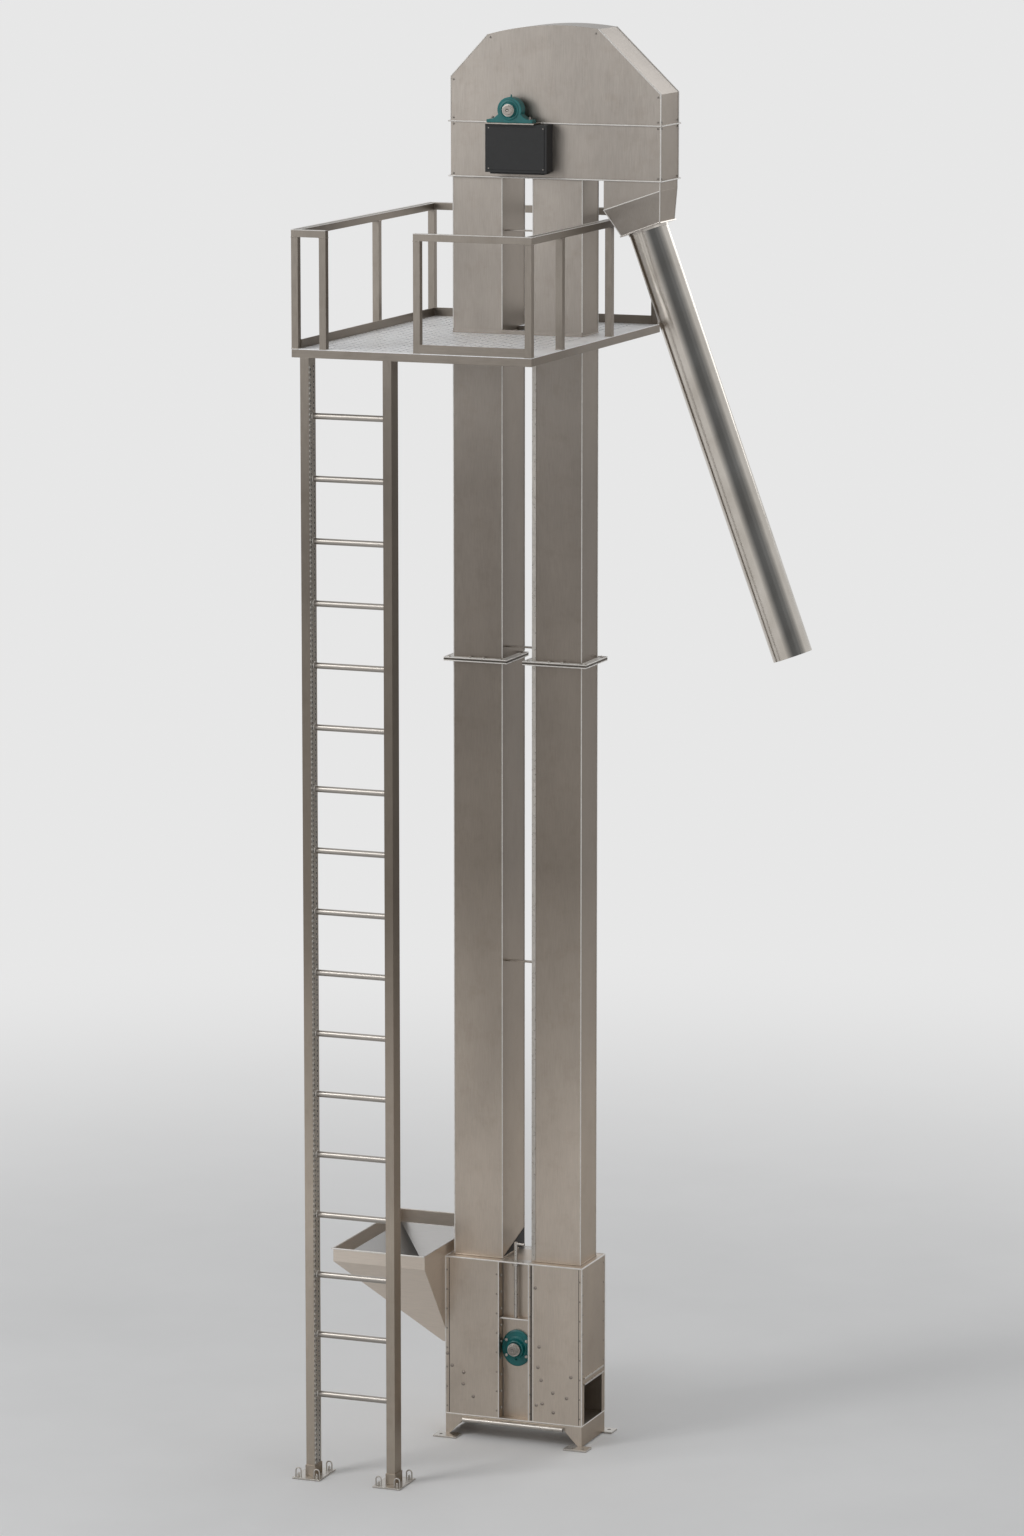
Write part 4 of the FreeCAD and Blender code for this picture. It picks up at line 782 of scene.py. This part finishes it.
# Weld seams round the legs and at the posts
LEG_MIDDLE, WELD_X, WELD_Y = 0.2075, 0.1285, 0.110
bm = bmesh.new()
for x in (-LEG_MIDDLE, LEG_MIDDLE):
    for level in (0.9225, 6.2925, 5.5365):
        edge_ring(bm, [(x - WELD_X, -WELD_Y), (x + WELD_X, -WELD_Y), (x + WELD_X, WELD_Y),
                       (x - WELD_X, WELD_Y)], level, PANEL_LINE)
rail_low, rail_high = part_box("railing_left")
deep = rail_high.y - rail_low.y
right_x = rail_high.x - POST
posts = [(rail_low.x, rail_low.y), (-0.618, rail_low.y), (rail_low.x, rail_low.y + deep * 0.57),
         (rail_low.x, rail_high.y - POST), (GATE_RIGHT, rail_low.y), (right_x, rail_low.y),
         (right_x, rail_low.y + deep * 0.23), (right_x, rail_low.y + deep * 0.61),
         (right_x, rail_high.y - POST)]
back = rail_high.y - THIN
for x, y in posts:
    corners = [(x, y), (x + POST, y), (x + POST, min(y + POST, back)), (x, min(y + POST, back))]
    for level in (rail_low.z + 0.001, rail_high.z - POST - 0.001):
        edge_ring(bm, corners, level, THIN)
finish_piece("weld_seams", bm, frame_steel)

# Painted highlights along the top edges of the rails
bm = bmesh.new()
top = rail_high.z
for start, end in (((rail_low.x, rail_low.y), (GATE_LEFT, rail_low.y)),
                   ((GATE_RIGHT, rail_low.y), (rail_high.x, rail_low.y)),
                   ((rail_low.x, rail_low.y), (rail_low.x, back)),
                   ((rail_low.x + POST, rail_low.y), (rail_low.x + POST, rail_high.y - POST)),
                   ((rail_low.x, back), (rail_high.x, back)),
                   ((rail_high.x, rail_low.y), (rail_high.x, back)),
                   ((right_x, rail_low.y + POST), (right_x, rail_high.y - POST))):
    edge_line(bm, (*start, top), (*end, top), 0.0018)
finish_piece("rail_edge_highlights", bm, painted_highlight_steel)

# Ladder: perforation rims in painted highlight, dark discs of painted shade in the holes, stile sockets and
# weld beads at the rungs
left_low, left_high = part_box("ladder_rail_left")
HOLE_ROWS, HOLE_COUNT, HOLE_START, HOLE_PITCH = (0.02296, 0.058), 216, 0.06, 0.025
HOLE, OPEN_HOLE, SPOT_HIGH, RIM, RIM_HIGH = 0.0076, 0.0061, 0.0005, 0.0014, 0.0012
BEAD, BEAD_HIGH, BEAD_DEPTH = 0.0066, 0.002, 0.0075
rim_outline = [(HOLE, 0), (HOLE + RIM, 0), (HOLE + RIM * 0.8, RIM_HIGH), (HOLE + RIM * 0.2, RIM_HIGH)]
spot_outline = [(OPEN_HOLE, 0), (HOLE, 0), (HOLE, SPOT_HIGH), (OPEN_HOLE, SPOT_HIGH)]
bm, rims = bmesh.new(), bmesh.new()
for step in range(HOLE_COUNT):
    for row, depth in enumerate(HOLE_ROWS):
        z = HOLE_START + step * HOLE_PITCH + row * HOLE_PITCH / 2
        place = (left_high.x, left_low.y + depth, z)
        add_revolved(rims, place, (1, 0, 0), rim_outline, 12)
        # The dark discs are painted shade standing for the holes
        if row or step % 3:
            add_disc(bm, place, (1, 0, 0), HOLE, SPOT_HIGH, 12)
        else:
            add_revolved(bm, place, (1, 0, 0), spot_outline, 12)
    bead_z = HOLE_START + (step + 0.5) * HOLE_PITCH
    add_disc(rims, (left_high.x, left_low.y + BEAD_DEPTH, bead_z), (1, 0, 0), BEAD, BEAD_HIGH, 10, BEAD * 0.5)
finish_piece("rail_perforation_shade", bm, dark_joints_and_painted_shade)
finish_piece("perforation_rim_highlights", rims, painted_highlight_steel)
SOCKET, SOCKET_LOW, SOCKET_HIGH = 0.004, 0.008, 0.06
bm = bmesh.new()
for node in ("ladder_rail_left", "ladder_rail_right"):
    low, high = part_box(node)
    for a, b in (((low.x - SOCKET, low.y - SOCKET), (high.x + SOCKET, low.y)),
                 ((low.x - SOCKET, high.y), (high.x + SOCKET, high.y + SOCKET)),
                 ((low.x - SOCKET, low.y), (low.x, high.y)),
                 ((high.x, low.y), (high.x + SOCKET, high.y))):
        add_block(bm, (*a, SOCKET_LOW), (*b, SOCKET_HIGH))
finish_piece("stile_sockets", bm, frame_steel, bevel=0.001)
bead_outline = [(0.015, 0), (0.0195, 0), (0.0175, 0.003), (0.015, 0.0045)]
bm = bmesh.new()
for low, high in islands("ladder_rungs"):
    middle = (low + high) / 2
    for x, way in ((low.x, 1), (high.x, -1)):
        add_revolved(bm, (x, middle.y, middle.z), (way, 0, 0), bead_outline, 18)
finish_piece("rung_welds", bm, bright)

# Shackle-shaped floor anchors at the ladder feet
HALF_SPAN, ROD, STRAIGHT, BENDS = 0.014, 0.0035, 0.030, 8
shackle = [(-HALF_SPAN, 0), (-HALF_SPAN, STRAIGHT)]
for step in range(1, BENDS):
    angle = math.pi * step / BENDS
    shackle.append((-HALF_SPAN * math.cos(angle), STRAIGHT + HALF_SPAN * math.sin(angle)))
shackle += [(HALF_SPAN, STRAIGHT), (HALF_SPAN, 0)]
bm = bmesh.new()
for low, high in islands("ladder_anchor_bolts"):
    middle = (low + high) / 2
    edge_path(bm, [(middle.x + out, middle.y, low.z + rise) for out, rise in shackle], ROD)
finish_piece("anchor_loops", bm, bright)

# Cooling ribs, fan cover and bolts on the drive
motor_low, motor_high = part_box("drive_motor")
middle = (motor_low + motor_high) / 2
MOTOR_RADIUS, RIB_COUNT, RIB_HALF, RIB_REACH = 0.050, 28, 0.0015, 0.009
COVER_RINGS, RING_PITCH, RING_WIDE = 6, 0.008, 0.004
bm = bmesh.new()
for step in range(RIB_COUNT):
    angle = 2 * math.pi * step / RIB_COUNT
    out = Vector((0, math.cos(angle), math.sin(angle)))
    side = Vector((0, -math.sin(angle), math.cos(angle))) * RIB_HALF
    base = middle + out * (MOTOR_RADIUS - 0.001)
    corners = []
    for x in (motor_low.x + 0.014, motor_high.x - 0.068):
        for reach in (0, RIB_REACH):
            for way in (-1, 1):
                point = base + out * reach + side * way
                corners.append(bm.verts.new((x, point.y, point.z)))
    for quad in ((0, 1, 3, 2), (4, 6, 7, 5), (0, 4, 5, 1), (2, 3, 7, 6), (0, 2, 6, 4), (1, 5, 7, 3)):
        bm.faces.new([corners[k] for k in quad])
for step in range(COVER_RINGS):
    inner = RING_PITCH + step * RING_PITCH
    outer = RING_PITCH + RING_WIDE + step * RING_PITCH
    add_revolved(bm, (motor_high.x, middle.y, middle.z), (1, 0, 0),
                 [(inner, -0.001), (outer, -0.001), (outer, 0.0015), (inner, 0.0015)], 30)
finish_piece("motor_ribs", bm, teal, bevel=0.0008)
gear_low, gear_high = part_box("gearbox")
GEAR_BOLT_IN, GEAR_BOLT_LOW, GEAR_BOLT_PITCH, GEAR_BOSS = 0.034, 0.025, 0.093, 0.012
bm = bmesh.new()
for x in (gear_low.x + GEAR_BOLT_IN, gear_high.x - GEAR_BOLT_IN):
    for step in range(4):
        centre = (x, gear_high.y - GEAR_BOSS, gear_low.z + GEAR_BOLT_LOW + step * GEAR_BOLT_PITCH)
        add_bolt(bm, centre, (0, 1, 0), 0.009, 0.008)
finish_piece("gearbox_bolts", bm, bright)
bm = bmesh.new()
add_revolved(bm, (0, gear_high.y, SHAFT_Z), (0, 1, 0),
             [(BORE, 0), (0.065, 0), (0.062, 0.012), (0.04, 0.016), (BORE, 0.016)])
finish_piece("gearbox_boss", bm, teal, bevel=0.001)

low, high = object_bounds()
